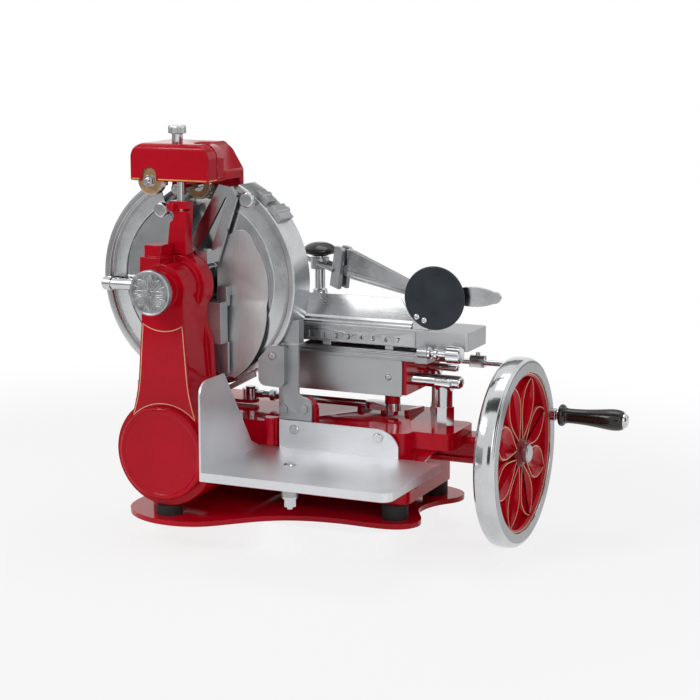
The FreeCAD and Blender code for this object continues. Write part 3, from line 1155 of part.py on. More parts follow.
def connecting_rod():
    """Round rod with a flat eye at the carriage."""
    z0, z1 = ROD_Z - ROD_EYE_HEIGHT / 2, ROD_Z + ROD_EYE_HEIGHT / 2
    eye = plate_z(slot(BOSS_X - 34, BOSS_X, SHAFT_Y, ROD_EYE_RADIUS - 2), z0, z1)
    ring = bar_z(z0, z1, BOSS_X, SHAFT_Y, ROD_EYE_RADIUS)
    rod = bar_x(PIN_X + 44, BOSS_X - 36, SHAFT_Y, ROD_Z, ROD_DIAMETER / 2)
    return fused(eye, ring, rod).cut(bar_z(z0 - 1, z1 + 1, BOSS_X, SHAFT_Y, ROD_PIN_R + RUNNING_GAP))


def rod_end():
    """Adjustable rod end: eye, crank bolt and threaded shank."""
    z0, z1 = ROD_Z - CRANK_EYE_HEIGHT / 2, ROD_Z + CRANK_EYE_HEIGHT / 2
    eye = bar_z(z0, z1, PIN_X, SHAFT_Y, ROD_EYE_RADIUS)
    nut = hex_head(V(PIN_X, SHAFT_Y, z1), Z_AXIS, 15, 3)
    neck = bar_x(PIN_X, PIN_X + 24, SHAFT_Y, ROD_Z, ROD_DIAMETER / 2)
    r = ROD_DIAMETER / 2 - 0.8
    points = [(0, 0)]
    for i in range(10):
        points.append((r - 0.8, 2.0 * i))
        points.append((r, 2.0 * i + 1))
    points.append((r - 0.8, 20))
    points.append((0, 20))
    thread = turned(points, V(PIN_X + 24, SHAFT_Y, ROD_Z), X_AXIS)
    return fused(eye, nut, neck, thread)


def rod_nut():
    """Lock nut between the threaded end and the rod, flat above the crank arm."""
    nut = hex_head(V(PIN_X + 37, SHAFT_Y, ROD_Z), X_AXIS, CRANK_EYE_HEIGHT - 0.5, 8)
    nut.rotate(V(PIN_X, SHAFT_Y, ROD_Z), X_AXIS, 30)
    return nut


def meat_table():
    """Slab that carries the food, longer along the blade side, with rails underneath."""
    x0, x1, x2 = TABLE_LEFT, TABLE_RIGHT, TABLE_TONGUE_RIGHT
    y0, y1, y2 = CARRIAGE_FRONT, CARRIAGE_FRONT + TABLE_TONGUE_DEPTH, TABLE_BACK
    c = TABLE_CORNER
    slab = plate_z(((x0 + c, y0), (x2 - c, y0), (x2, y0 + c), (x2, y1 - c), (x2 - c, y1), (x1 + c, y1),
                    (x1, y1 + c), (x1, y2 - c), (x1 - c, y2), (x0 + c, y2), (x0, y2 - c), (x0, y0 + c)),
                   TABLE_Z, TABLE_TOP)
    rails = [block(x, x + 14, y0 + 4, CARRIAGE_BACK + 5, TOP_PLATE_Z + SEAT_GAP, TABLE_Z + 1)
             for x in (182, 286)]
    hollow = block(x0 + 12, 178, y0 + 12, y2 - 12, TABLE_Z - 1, TABLE_TOP - 12)
    return fused(slab.cut(hollow), *rails)


def scale_strip():
    """Raised strip with the thickness scale's blocks."""
    y0 = CARRIAGE_FRONT - 2
    strip = block(CARRIAGE_LEFT + 8, CARRIAGE_RIGHT + 16, y0, CARRIAGE_FRONT, TABLE_Z + 2, TABLE_TOP - 4)
    shapes = [strip]
    x0, step = CARRIAGE_LEFT + 18.0, 20.5
    for i in range(SCALE_MARKS):
        x = x0 + step * i
        shapes.append(block(x, x + 2.4, y0 - 1, y0 + 0.5, TABLE_Z + 5, TABLE_Z + 16))
    return fused(*shapes)


def fence():
    """Leaning polished sheet on a stepped rail along the table's front."""
    y, z = CARRIAGE_FRONT, TABLE_TOP
    side = plate_x(((y + 1, z), (y + 1, z + 3), (y + 5, z + 5), (y + 5, z + 8), (y + 10, z + 11),
                    (y + 26, z + FENCE_HEIGHT + 3), (y + 26 + FENCE_SHEET, z + FENCE_HEIGHT + 3),
                    (y + 14, z + 9), (y + 16, z)), TABLE_LEFT + 22, 330)
    corner = plate_y(((331, z + 10), (302, z + FENCE_HEIGHT + 4), (340, z + FENCE_HEIGHT + 4), (340, z + 10)),
                     y - 1, y + 60)
    return side.cut(corner)


def shield_disc():
    """Round hand shield at the fence's end."""
    return turned(((0, 0), (DISC_RADIUS, 0), (DISC_RADIUS, 2.5), (DISC_RADIUS - 1.5, 4), (0, 4)),
                  V(DISC_X, DISC_Y, DISC_Z), V(0, -1, 0))


def shield_bracket():
    """Block on the table behind the shield."""
    return block(331, 357, DISC_Y, DISC_Y + 12, TABLE_TOP, TABLE_TOP + 27)


def shield_screws():
    """Two screws at the shield's lower edge."""
    screws = []
    for x, z in ((340, TABLE_TOP + 20), (352, TABLE_TOP + 15.5)):
        screws.append(turned(((0, 0), (5, 0), (5, 1.5), ((4, 3), (1.5, 3.8)), (0, 3.8)),
                             V(x, DISC_Y - 4, z), V(0, -1, 0)))
    return Part.makeCompound(screws)


def press_post():
    """Post of the press with its domed foot on the table."""
    r, height = POST_DIAMETER / 2, POST_HEIGHT + 14
    return turned(((0, 0), (38, 0), (38, 3), ((32, 9), (20, 14)), ((14, 18), (12, 26)), (r, 28),
                   (r, height), (0, height)), V(POST_X, POST_Y, TABLE_TOP), Z_AXIS)


def press_turned(shape):
    """Turn a piece drawn along X into the press arm's direction."""
    shape.rotate(V(POST_X, POST_Y, 0), Z_AXIS, PRESS_ANGLE)
    return shape


def press_bracket():
    """Collar on the post, two sloping bars and the slotted hinge block."""
    x, y, z = POST_X, POST_Y, TABLE_TOP
    shapes = [bar_z(z + 60, z + 78, x, y, 15)]
    for side in (-9.5, 9.5):
        shapes.append(bar_between(V(x - 24, y + side, z + 75), V(x + 50, y + side, z + 63), 4))
    outer = plate_y(((x + 40, z + 38), (x + 62, z + 34), (x + 73, z + 96),
                     ((x + 70, z + 100), (x + 66, z + 101)), (x + 54, z + 102)), y - 11, y + 11)
    gap = block(x + 52, x + 90, y - 4.2, y + 4.2, z, z + 110)
    body = fused(*shapes, outer.cut(gap))
    body = body.cut(bar_z(z, z + 110, x, y, POST_DIAMETER / 2 + RUNNING_GAP))
    pin_x = x + PRESS_PIN_OUT
    pin = bar_y(y - 11, y + 11, pin_x, PRESS_PIN_Z, 3)
    return press_turned(fused(body, pin))


def press_arm():
    """Tapered arm with a toothed lower edge and the leaf-shaped handle."""
    x, y, z = POST_X, POST_Y, TABLE_TOP
    points = [(x + 290, z + 62), (x + 290, z + 40), (x + 226, z + 47)]
    first, last, rise = 224.0, 78.0, 9.0
    teeth = 26
    for i in range(teeth):
        s = first - i * 5.4
        low = z + 47 + (first - s) * rise / (first - last)
        points.append((x + s - 2.7, low - 3.2))
        points.append((x + s - 5.0, low + 0.2))
    points += [(x + 76, z + 56), (x + 56, z + 56), (x + 56, z + 68), (x + 76, z + 74), (x + 76, z + 99),
               (x + 92, z + 97), (x + 224, z + 68)]
    arm = plate_y(points, y - 3.9, y + 3.9)
    lip = plate_y(((x + 80, z + 60), (x + 226, z + 51), (x + 226, z + 55), (x + 80, z + 64)), y - 7, y + 7)
    arm = fused(arm, lip).cut(bar_y(y - 9, y + 9, x + PRESS_PIN_OUT, PRESS_PIN_Z, 3 + RUNNING_GAP))
    arm = press_turned(arm)
    root = block(352, 378, 71, 86, z + 45, z + 60)
    leaf = plate_y(((374, z + 48), (392, z + 43), ((430, z + 38.5), (457, z + 45)),
                    ((466.5, z + 54), (456, z + 62)), ((430, z + 68), (392, z + 62)), (374, z + 57)), 75, 81)
    return fused(arm, root, leaf)


def press_knob():
    """Black rounded knob on top of the post."""
    z = POST_TOP - 1
    bore = POST_DIAMETER / 2 + RUNNING_GAP
    depth = 16
    return turned(((bore, 0), (14, 0), (16, 2), (24, 3.5), ((28, 8), (26, 13)), ((17, 19), (3, 21.5)),
                   (0, 21.5), (0, depth), (bore, depth)), V(POST_X, POST_Y, z), Z_AXIS)


def feed_bracket():
    """Small bearing block at the right end of the carriage's top slide."""
    x0 = CARRIAGE_RIGHT + 23
    y, z = FEED_KNOB_Y, FEED_KNOB_Z
    foot = block(x0, x0 + 20, y - 5, y + 30, CARRIAGE_TOP + 2, TOP_PLATE_Z)
    return fused(foot, bar_x(x0 + 4, x0 + 20, y, z, 9))


def feed_knob():
    """Collar, neck and knurled knob of the table's feed."""
    x0 = CARRIAGE_RIGHT + 43 + SEAT_GAP
    return turned(((0, 0), (9, 0), (9, 4), (5, 6), (5, 10), (9, 11), (9, 15), (6, 17), (6, 28), (11, 30),
                   (13, 31), (13, 51), (11, 53), (0, 53)), V(x0, FEED_KNOB_Y, FEED_KNOB_Z), X_AXIS)


def feed_shaft():
    """Long feed shaft that leaves the carriage on the right."""
    return bar_x(FEED_LEFT, FEED_RIGHT, FEED_Y, FEED_Z, FEED_R)


def feed_clamp():
    """Clamp fitting on the feed shaft."""
    x0 = CARRIAGE_RIGHT + FEED_CLAMP_OUT
    y, z = FEED_Y, FEED_Z
    body = plate_x(((y - 7, z - 7), (y + 7, z - 7), (y + 7, z + 6), (y + 3, z + 11), (y - 3, z + 11),
                    (y - 7, z + 6)), x0, x0 + 24)
    screw = bar_z(z + 10, z + 16, x0 + 12, y, 3.5)
    return fused(body, screw).cut(bar_x(x0 - 1, x0 + 25, FEED_Y, FEED_Z, FEED_R))


def cross_shaft_set():
    """Cross shaft with the big sprocket and the mitre gear keyed on it."""
    return fused(cross_shaft(), sprocket(LOWER_SPROCKET_TEETH, SHAFT_HEIGHT, SHAFT_R), mitre_gear())


def main_shaft_set():
    """Flywheel shaft with both bevel pinions and the nut at its outer end."""
    return fused(main_shaft(), wheel_nut(), *shaft_pinions().Solids)


def blade_shaft_set():
    """Blade shaft with its small sprocket."""
    return fused(blade_shaft(), sprocket(UPPER_SPROCKET_TEETH, BLADE_HEIGHT, BLADE_SHAFT_DIAMETER / 2))


os.makedirs("parts", exist_ok=True)
save("base_tray", base_tray())
save("rubber_feet", rubber_feet())
save("bed_casting", bed_casting())
save("bearing_arm", bearing_arm())
save("shaft_bushes", shaft_bushes())
save("gear_column", gear_column())
save("drum_cover", drum_cover())
save("sharpener_post", fused(sharpener_post(), clamp_screw()))
save("lift_rod", lift_rod())
save("sharpener_hood", sharpener_hood())
save("front_stone", grinding_wheel(0))
save("rear_stone", grinding_wheel(1))
save("lift_screw", lift_screw())
save("cutting_blade", cutting_blade())
save("blade_hub", blade_hub())
save("blade_shaft", blade_shaft_set())
save("blade_bearing", blade_bearing())
save("blade_guard", blade_guard())
save("blade_cover", fused(blade_cover(), *cover_braces().Solids))
save("guard_arm", guard_arm())
save("cover_knob", guard_knob(*on_ring(-27.8, 45.2), COVER_Y))
save("guard_knob", guard_knob(*on_ring(36.1, 6.4), 0.0))
save("guard_latch", Part.makeCompound(guard_latch().Solids + [lower_guard()]))
save("ring_stays", ring_stays())
save("slice_deflector", deflector_plate())
save("deflector_bracket", deflector_bracket())
save("guard_strut", fused(guard_strut(), guard_seat(), *strut_screws().Solids))
save("strut_lock", strut_lock())
save("receiving_plate", receiving_plate())
save("plate_fasteners", Part.makeCompound(plate_screws().Solids + [plate_bolt()]))
save("plate_arm", plate_arm())
save("drive_chain", chain_loop())
save("cross_shaft", cross_shaft_set())
save("main_shaft", main_shaft_set())
save("crank_gear", crank_gear())
save("crank_arm", crank_arm())
save("flywheel_rim", flywheel_rim())
save("flywheel_centre", flywheel_centre())
save("grip_spindle", fused(grip_spindle(), grip_cap()))
save("crank_grip", crank_grip())
save("rosette_knob", rosette_knob())
save("bar_bracket", bar_bracket())
save("slide_bars", Part.makeCompound([
    slide_bar(FRONT_BAR_Y, FRONT_BAR_Z, FRONT_BAR_DIAMETER, FRONT_BAR_END),
    slide_bar(REAR_BAR_Y, REAR_BAR_Z, REAR_BAR_DIAMETER, REAR_BAR_END)]))
save("bar_columns", Part.makeCompound([
    bar_column(FRONT_COLUMN_X, FRONT_BAR_Y, FRONT_BAR_Z, FRONT_BAR_DIAMETER / 2, 12, BED_TOP + 32),
    bar_column(REAR_COLUMN_X, REAR_BAR_Y, REAR_BAR_Z, REAR_BAR_DIAMETER / 2, 8, BED_TOP + 20)]))
save("carriage_casting", carriage_casting())
save("carriage_cover", fused(carriage_cover(), cover_screw()))
save("carriage_top", fused(carriage_top(), feed_bracket()))
save("rod_pin", rod_pin())
save("connecting_rod", fused(connecting_rod(), rod_end(), rod_nut()))
save("meat_table", meat_table())
save("scale_strip", scale_strip())
save("fence", fence())
save("shield_disc", shield_disc())
save("shield_mount", Part.makeCompound([shield_bracket()] + shield_screws().Solids))
save("press_post", press_post())
save("press_bracket", press_bracket())
save("press_arm", press_arm())
save("press_knob", press_knob())
save("feed_knob", feed_knob())
save("feed_shaft", fused(feed_shaft(), feed_clamp()))
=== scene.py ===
"""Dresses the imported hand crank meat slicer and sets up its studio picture.

Metres, in the part's own frame: X runs along the flywheel shaft towards the crank
grip, Y away from the side where the slices fall, Z is up.
"""
import json
import logging
import math
from dataclasses import dataclass
from enum import Enum

import bmesh
import bpy
import numpy as np
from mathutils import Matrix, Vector

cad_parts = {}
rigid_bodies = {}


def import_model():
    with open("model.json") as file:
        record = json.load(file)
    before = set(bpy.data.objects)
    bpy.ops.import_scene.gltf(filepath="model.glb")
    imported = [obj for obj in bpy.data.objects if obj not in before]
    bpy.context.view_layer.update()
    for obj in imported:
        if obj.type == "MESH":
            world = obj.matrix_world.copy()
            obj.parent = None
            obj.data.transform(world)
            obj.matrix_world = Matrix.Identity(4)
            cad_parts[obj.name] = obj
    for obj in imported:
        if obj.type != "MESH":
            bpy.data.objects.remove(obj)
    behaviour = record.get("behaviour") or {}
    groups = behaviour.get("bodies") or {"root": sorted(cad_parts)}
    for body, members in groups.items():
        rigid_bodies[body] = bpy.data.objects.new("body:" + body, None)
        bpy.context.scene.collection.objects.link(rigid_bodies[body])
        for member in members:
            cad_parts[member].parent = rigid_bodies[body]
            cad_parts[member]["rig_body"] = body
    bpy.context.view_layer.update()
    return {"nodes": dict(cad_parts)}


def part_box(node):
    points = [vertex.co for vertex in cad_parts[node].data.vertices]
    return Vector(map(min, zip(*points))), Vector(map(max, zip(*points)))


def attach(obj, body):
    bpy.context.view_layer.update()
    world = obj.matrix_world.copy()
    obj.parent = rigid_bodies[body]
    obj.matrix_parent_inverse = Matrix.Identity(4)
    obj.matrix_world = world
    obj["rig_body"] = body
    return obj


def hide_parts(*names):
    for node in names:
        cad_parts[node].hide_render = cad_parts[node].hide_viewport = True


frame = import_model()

LOG = logging.getLogger("slicer")
MM = 0.001
WELD = 3e-6
FLAT_ANGLE = math.radians(0.6)
EDGE_ANGLE = math.radians(28)
Colour = tuple[float, float, float]
Profile = list[tuple[float, float]]


class Grain(Enum):
    """How a surface was worked, as the direction in which its fine marks run."""

    EVEN = (1.0, 1.0, 1.0)
    ALONG_X = (0.04, 1.0, 1.0)
    ALONG_Y = (1.0, 0.04, 1.0)
    ALONG_Z = (1.0, 1.0, 0.04)


class Axis(Enum):
    """Axis of a turned piece, with the two directions across it."""

    X = ((1, 0, 0), (0, 1, 0), (0, 0, 1))
    Y = ((0, 1, 0), (0, 0, 1), (1, 0, 0))
    Z = ((0, 0, 1), (1, 0, 0), (0, 1, 0))


@dataclass(frozen=True)
class Finish:
    """One surface finish, as a node material.

    Patches are large soft changes of colour and gloss; marks are the fine grain,
    which also lifts the surface a little.
    """

    name: str
    slot: str
    tint: Colour
    shade: Colour
    metallic: float = 0.0
    gloss: tuple[float, float] = (0.3, 0.4)
    grain: Grain = Grain.EVEN
    patches: float = 18.0
    marks: float = 900.0
    relief: float = 0.02
    sheen: float = 0.5
    # Lighter colour at sharp edges: part wear, part painted highlight.
    worn: Colour | None = None
    patch_detail: float = 5.0
    mark_detail: float = 3.0
    mark_share: float = 0.35
    ramp_ends: tuple[float, float] = (0.45, 0.85)
    gloss_ends: tuple[float, float] = (0.4, 0.95)
    lift: float = 0.5
    edge_ends: tuple[float, float] = (0.53, 0.62)
    edge_share: float = 0.6

    def material(self) -> bpy.types.Material:
        """Builds the material once and gives it back.

        Returns:
            The material, with colour, roughness and bump all driven by noise.
        """
        known = bpy.data.materials.get(self.name)
        if known:
            return known
        material = bpy.data.materials.new(self.name)
        material.use_nodes = True
        tree = material.node_tree
        nodes, links = tree.nodes, tree.links
        shader = nodes["Principled BSDF"]
        shader.inputs["Metallic"].default_value = self.metallic
        shader.inputs["Specular IOR Level"].default_value = self.sheen
        where = nodes.new("ShaderNodeTexCoord")
        turned = nodes.new("ShaderNodeMapping")
        turned.inputs["Scale"].default_value = self.grain.value
        links.new(where.outputs["Object"], turned.inputs["Vector"])
        patch = nodes.new("ShaderNodeTexNoise")
        patch.inputs["Scale"].default_value = self.patches
        patch.inputs["Detail"].default_value = self.patch_detail
        links.new(where.outputs["Object"], patch.inputs["Vector"])
        mark = nodes.new("ShaderNodeTexNoise")
        mark.inputs["Scale"].default_value = self.marks
        mark.inputs["Detail"].default_value = self.mark_detail
        links.new(turned.outputs["Vector"], mark.inputs["Vector"])
        both = nodes.new("ShaderNodeMath")
        both.operation = "MULTIPLY_ADD"
        both.inputs[1].default_value = self.mark_share
        links.new(mark.outputs["Fac"], both.inputs[0])
        links.new(patch.outputs["Fac"], both.inputs[2])
        ramp = nodes.new("ShaderNodeValToRGB")
        ramp.color_ramp.elements[0].position = self.ramp_ends[0]
        ramp.color_ramp.elements[0].color = (*self.shade, 1.0)
        ramp.color_ramp.elements[1].position = self.ramp_ends[1]
        ramp.color_ramp.elements[1].color = (*self.tint, 1.0)
        links.new(both.outputs[0], ramp.inputs["Fac"])
        colour = ramp.outputs["Color"]
        # Painted highlight, with some wear, along the sharp edges.
        if self.worn:
            colour = self._worn_edges(tree, colour)
        links.new(colour, shader.inputs["Base Color"])
        rough = nodes.new("ShaderNodeMapRange")
        rough.inputs["From Min"].default_value = self.gloss_ends[0]
        rough.inputs["From Max"].default_value = self.gloss_ends[1]
        rough.inputs["To Min"].default_value = self.gloss[0]
        rough.inputs["To Max"].default_value = self.gloss[1]
        links.new(both.outputs[0], rough.inputs["Value"])
        links.new(rough.outputs["Result"], shader.inputs["Roughness"])
        bump = nodes.new("ShaderNodeBump")
        bump.inputs["Strength"].default_value = self.lift
        bump.inputs["Distance"].default_value = self.relief * MM
        links.new(mark.outputs["Fac"], bump.inputs["Height"])
        links.new(bump.outputs["Normal"], shader.inputs["Normal"])
        return material

    def _worn_edges(self, tree: bpy.types.NodeTree, colour: bpy.types.NodeSocket) -> bpy.types.NodeSocket:
        """Mixes a lighter colour in where the surface turns a sharp edge, as part wear and part painted highlight.

        Args:
            tree: The material's node tree.
            colour: The colour so far.

        Returns:
            The mixed colour's socket.
        """
        shape = tree.nodes.new("ShaderNodeNewGeometry")
        edge = tree.nodes.new("ShaderNodeMapRange")
        edge.inputs["From Min"].default_value = self.edge_ends[0]
        edge.inputs["From Max"].default_value = self.edge_ends[1]
        edge.inputs["To Max"].default_value = self.edge_share
        tree.links.new(shape.outputs["Pointiness"], edge.inputs["Value"])
        mix = tree.nodes.new("ShaderNodeMix")
        mix.data_type = "RGBA"
        tree.links.new(edge.outputs["Result"], mix.inputs["Factor"])
        tree.links.new(colour, mix.inputs["A"])
        mix.inputs["B"].default_value = (*self.worn, 1.0)
        return mix.outputs["Result"]


RED = Finish("red_enamel_paint", "red_enamel", (0.62, 0.0025, 0.019), (0.50, 0.0015, 0.013), gloss=(0.06, 0.12),
             patches=7, marks=140, relief=0.006, sheen=0.18)
DARK_RED = Finish("shaded_enamel_paint", "red_enamel", (0.30, 0.006, 0.012), (0.16, 0.004, 0.007),
                  gloss=(0.16, 0.3), patches=30, marks=300, relief=0.02, sheen=0.25)
CREAM = Finish("pinstripe_paint", "red_enamel", (0.90, 0.66, 0.40), (0.78, 0.50, 0.26), gloss=(0.3, 0.45),
               patches=60, marks=700, relief=0.02)
GOLD = Finish("gold_stripe_paint", "red_enamel", (0.85, 0.50, 0.12), (0.68, 0.34, 0.06), gloss=(0.3, 0.42),
              patches=60, marks=700, relief=0.02)
RUBBER = Finish("foot_rubber", "black_rubber", (0.035, 0.034, 0.033), (0.02, 0.02, 0.02), gloss=(0.55, 0.75),
                patches=60, marks=1500, relief=0.08, sheen=0.3)
CHROME = Finish("chrome_plate", "bright_steel", (0.64, 0.65, 0.66), (0.50, 0.51, 0.52), 1.0, (0.08, 0.16),
                patches=16, marks=500, relief=0.006)
TURNED_STEEL = Finish("turned_steel", "shaft_steel", (0.50, 0.50, 0.51), (0.36, 0.36, 0.37), 1.0, (0.24, 0.38),
                      patches=40, marks=1300, relief=0.02)
BRONZE = Finish("bush_bronze", "bronze", (0.52, 0.36, 0.17), (0.40, 0.26, 0.12), 1.0, (0.28, 0.4), patches=40)
MIRROR = Finish("polished_casting", "polished_aluminium", (0.62, 0.63, 0.64), (0.46, 0.47, 0.485), 1.0,
                (0.14, 0.26), patches=14, marks=420, relief=0.014)
SHEET = Finish("polished_sheet", "polished_aluminium", (0.52, 0.53, 0.54), (0.38, 0.39, 0.40), 1.0,
               (0.20, 0.32), grain=Grain.ALONG_X, patches=12, marks=700, relief=0.01)
BELLIED = Finish("deflector_sheet", "bright_steel", (0.60, 0.61, 0.62), (0.44, 0.45, 0.46), 1.0,
                 (0.40, 0.50), grain=Grain.ALONG_Z, patches=10, marks=500, relief=0.012)
SATIN = Finish("satin_sheet", "satin_aluminium", (0.78, 0.79, 0.81), (0.68, 0.69, 0.71), 1.0, (0.36, 0.46),
               grain=Grain.ALONG_X, patches=9, marks=1500, relief=0.03)
GRAY = Finish("gray_casting", "gray_aluminium", (0.44, 0.45, 0.46), (0.34, 0.35, 0.36), 1.0, (0.32, 0.44),
              patches=20, marks=900, relief=0.03)
BRUSHED = Finish("brushed_plate", "gray_aluminium", (0.50, 0.51, 0.52), (0.42, 0.43, 0.44), 1.0, (0.32, 0.42),
                 grain=Grain.ALONG_X, patches=9, marks=1500, relief=0.02)
# Near-black colour on the raised scale numbers.
DARK_NUMBERS = Finish("scale_dark_numbers", "polished_aluminium", (0.05, 0.05, 0.055), (0.02, 0.02, 0.022), gloss=(0.4, 0.6),
             patches=60, marks=900, relief=0.02)
# The pewter's raised edges are lightened: part wear, part painted highlight.
PEWTER = Finish("pewter_relief", "pewter", (0.44, 0.45, 0.46), (0.20, 0.205, 0.215), 1.0, (0.28, 0.46),
                patches=60, marks=1100, relief=0.05, worn=(0.72, 0.73, 0.74))
STONE = Finish("stone_grit", "grinding_stone", (0.52, 0.34, 0.18), (0.34, 0.21, 0.10), gloss=(0.75, 0.95),
               patches=120, marks=2600, relief=0.3, sheen=0.3)
BLACK = Finish("black_lacquer", "black_grip", (0.020, 0.015, 0.013), (0.009, 0.007, 0.006), gloss=(0.12, 0.22),
               patches=30, marks=240, relief=0.03)
DISC = Finish("shield_plastic", "dark_disc", (0.026, 0.036, 0.048), (0.010, 0.016, 0.024), gloss=(0.24, 0.42),
              patches=26, marks=500, relief=0.02, sheen=0.4)


def softened(profile: Profile, radius: float, steps: int = 4) -> np.ndarray:
    """Closed profile with its corners rounded, in metres.

    Each corner C becomes (1-t)^2 A + 2t(1-t) C + t^2 B, where A and B lie on its two
    sides, a radius or 0.45 of the side away. Corners on the axis stay.

    Args:
        profile: Points as distance from the axis and place along it, in mm.
        radius: How far the rounding reaches along each side, in mm.
        steps: Points on each rounding.

    Returns:
        Array of points with the same two columns, in metres.
    """
    corner = np.array(profile, float)
    before, after = np.roll(corner, 1, 0) - corner, np.roll(corner, -1, 0) - corner
    reach = [np.minimum(radius / np.maximum(np.linalg.norm(side, axis=1), 1e-9), 0.45) for side in (before, after)]
    keep = (corner[:, 0] > 1e-6)[:, None]
    start = corner + before * reach[0][:, None] * keep
    end = corner + after * reach[1][:, None] * keep
    t = np.linspace(0, 1, steps)[None, :, None]
    curve = (1 - t) ** 2 * start[:, None] + 2 * t * (1 - t) * corner[:, None] + t ** 2 * end[:, None]
    return curve.reshape(-1, 2) * MM


def revolved(profile: np.ndarray, centre: tuple, axis: Axis, steps: int = 96,
             sweep: tuple[float, float] | None = None) -> np.ndarray:
    """Grid of a turned surface: centre + r (cos a U + sin a V) + s W.

    Args:
        profile: Columns r and s, in metres.
        centre: Point on the axis where s is 0.
        axis: The axis, whose value is W, U and V.
        steps: Steps around.
        sweep: First and last angle in degrees, for a surface that stays open.

    Returns:
        Array of points, steps by profile points by 3.
    """
    along, first, second = (np.array(d, float) for d in axis.value)
    if sweep:
        angle = np.radians(np.linspace(*sweep, steps))
    else:
        angle = np.linspace(0, 2 * math.pi, steps, endpoint=False)
    ring = np.cos(angle)[:, None] * first + np.sin(angle)[:, None] * second
    return np.array(centre, float) + ring[:, None] * profile[None, :, :1] + along * profile[None, :, 1:]


def swept(path: np.ndarray, up: np.ndarray, width: float, height: float, sink: float = 0.0003) -> np.ndarray:
    """Grid of a low rounded band along a path: P + w cos a S + h max(sin a, -sink) N.

    Args:
        path: Points along the band's middle.
        up: Direction away from the surface that it lies on, one for all or one for each point.
        width: The band's width.
        height: How far it stands proud.
        sink: How far it reaches into the surface below.

    Returns:
        Array of points, path points by 8 by 3.
    """
    normal = np.broadcast_to(up, path.shape)
    ahead = np.gradient(path, axis=0)
    if np.allclose(path[0], path[-1]):
        ahead[0] = ahead[-1] = path[1] - path[-2]
    side = np.cross(ahead, normal)
    side /= np.linalg.norm(side, axis=1)[:, None]
    angle = np.linspace(0, 2 * math.pi, 8, endpoint=False)
    rise = np.where(np.sin(angle) > -0.1, np.sin(angle) * height, -sink)
    across = np.cos(angle) * width / 2
    return path[:, None] + side[:, None] * across[None, :, None] + normal[:, None] * rise[None, :, None]


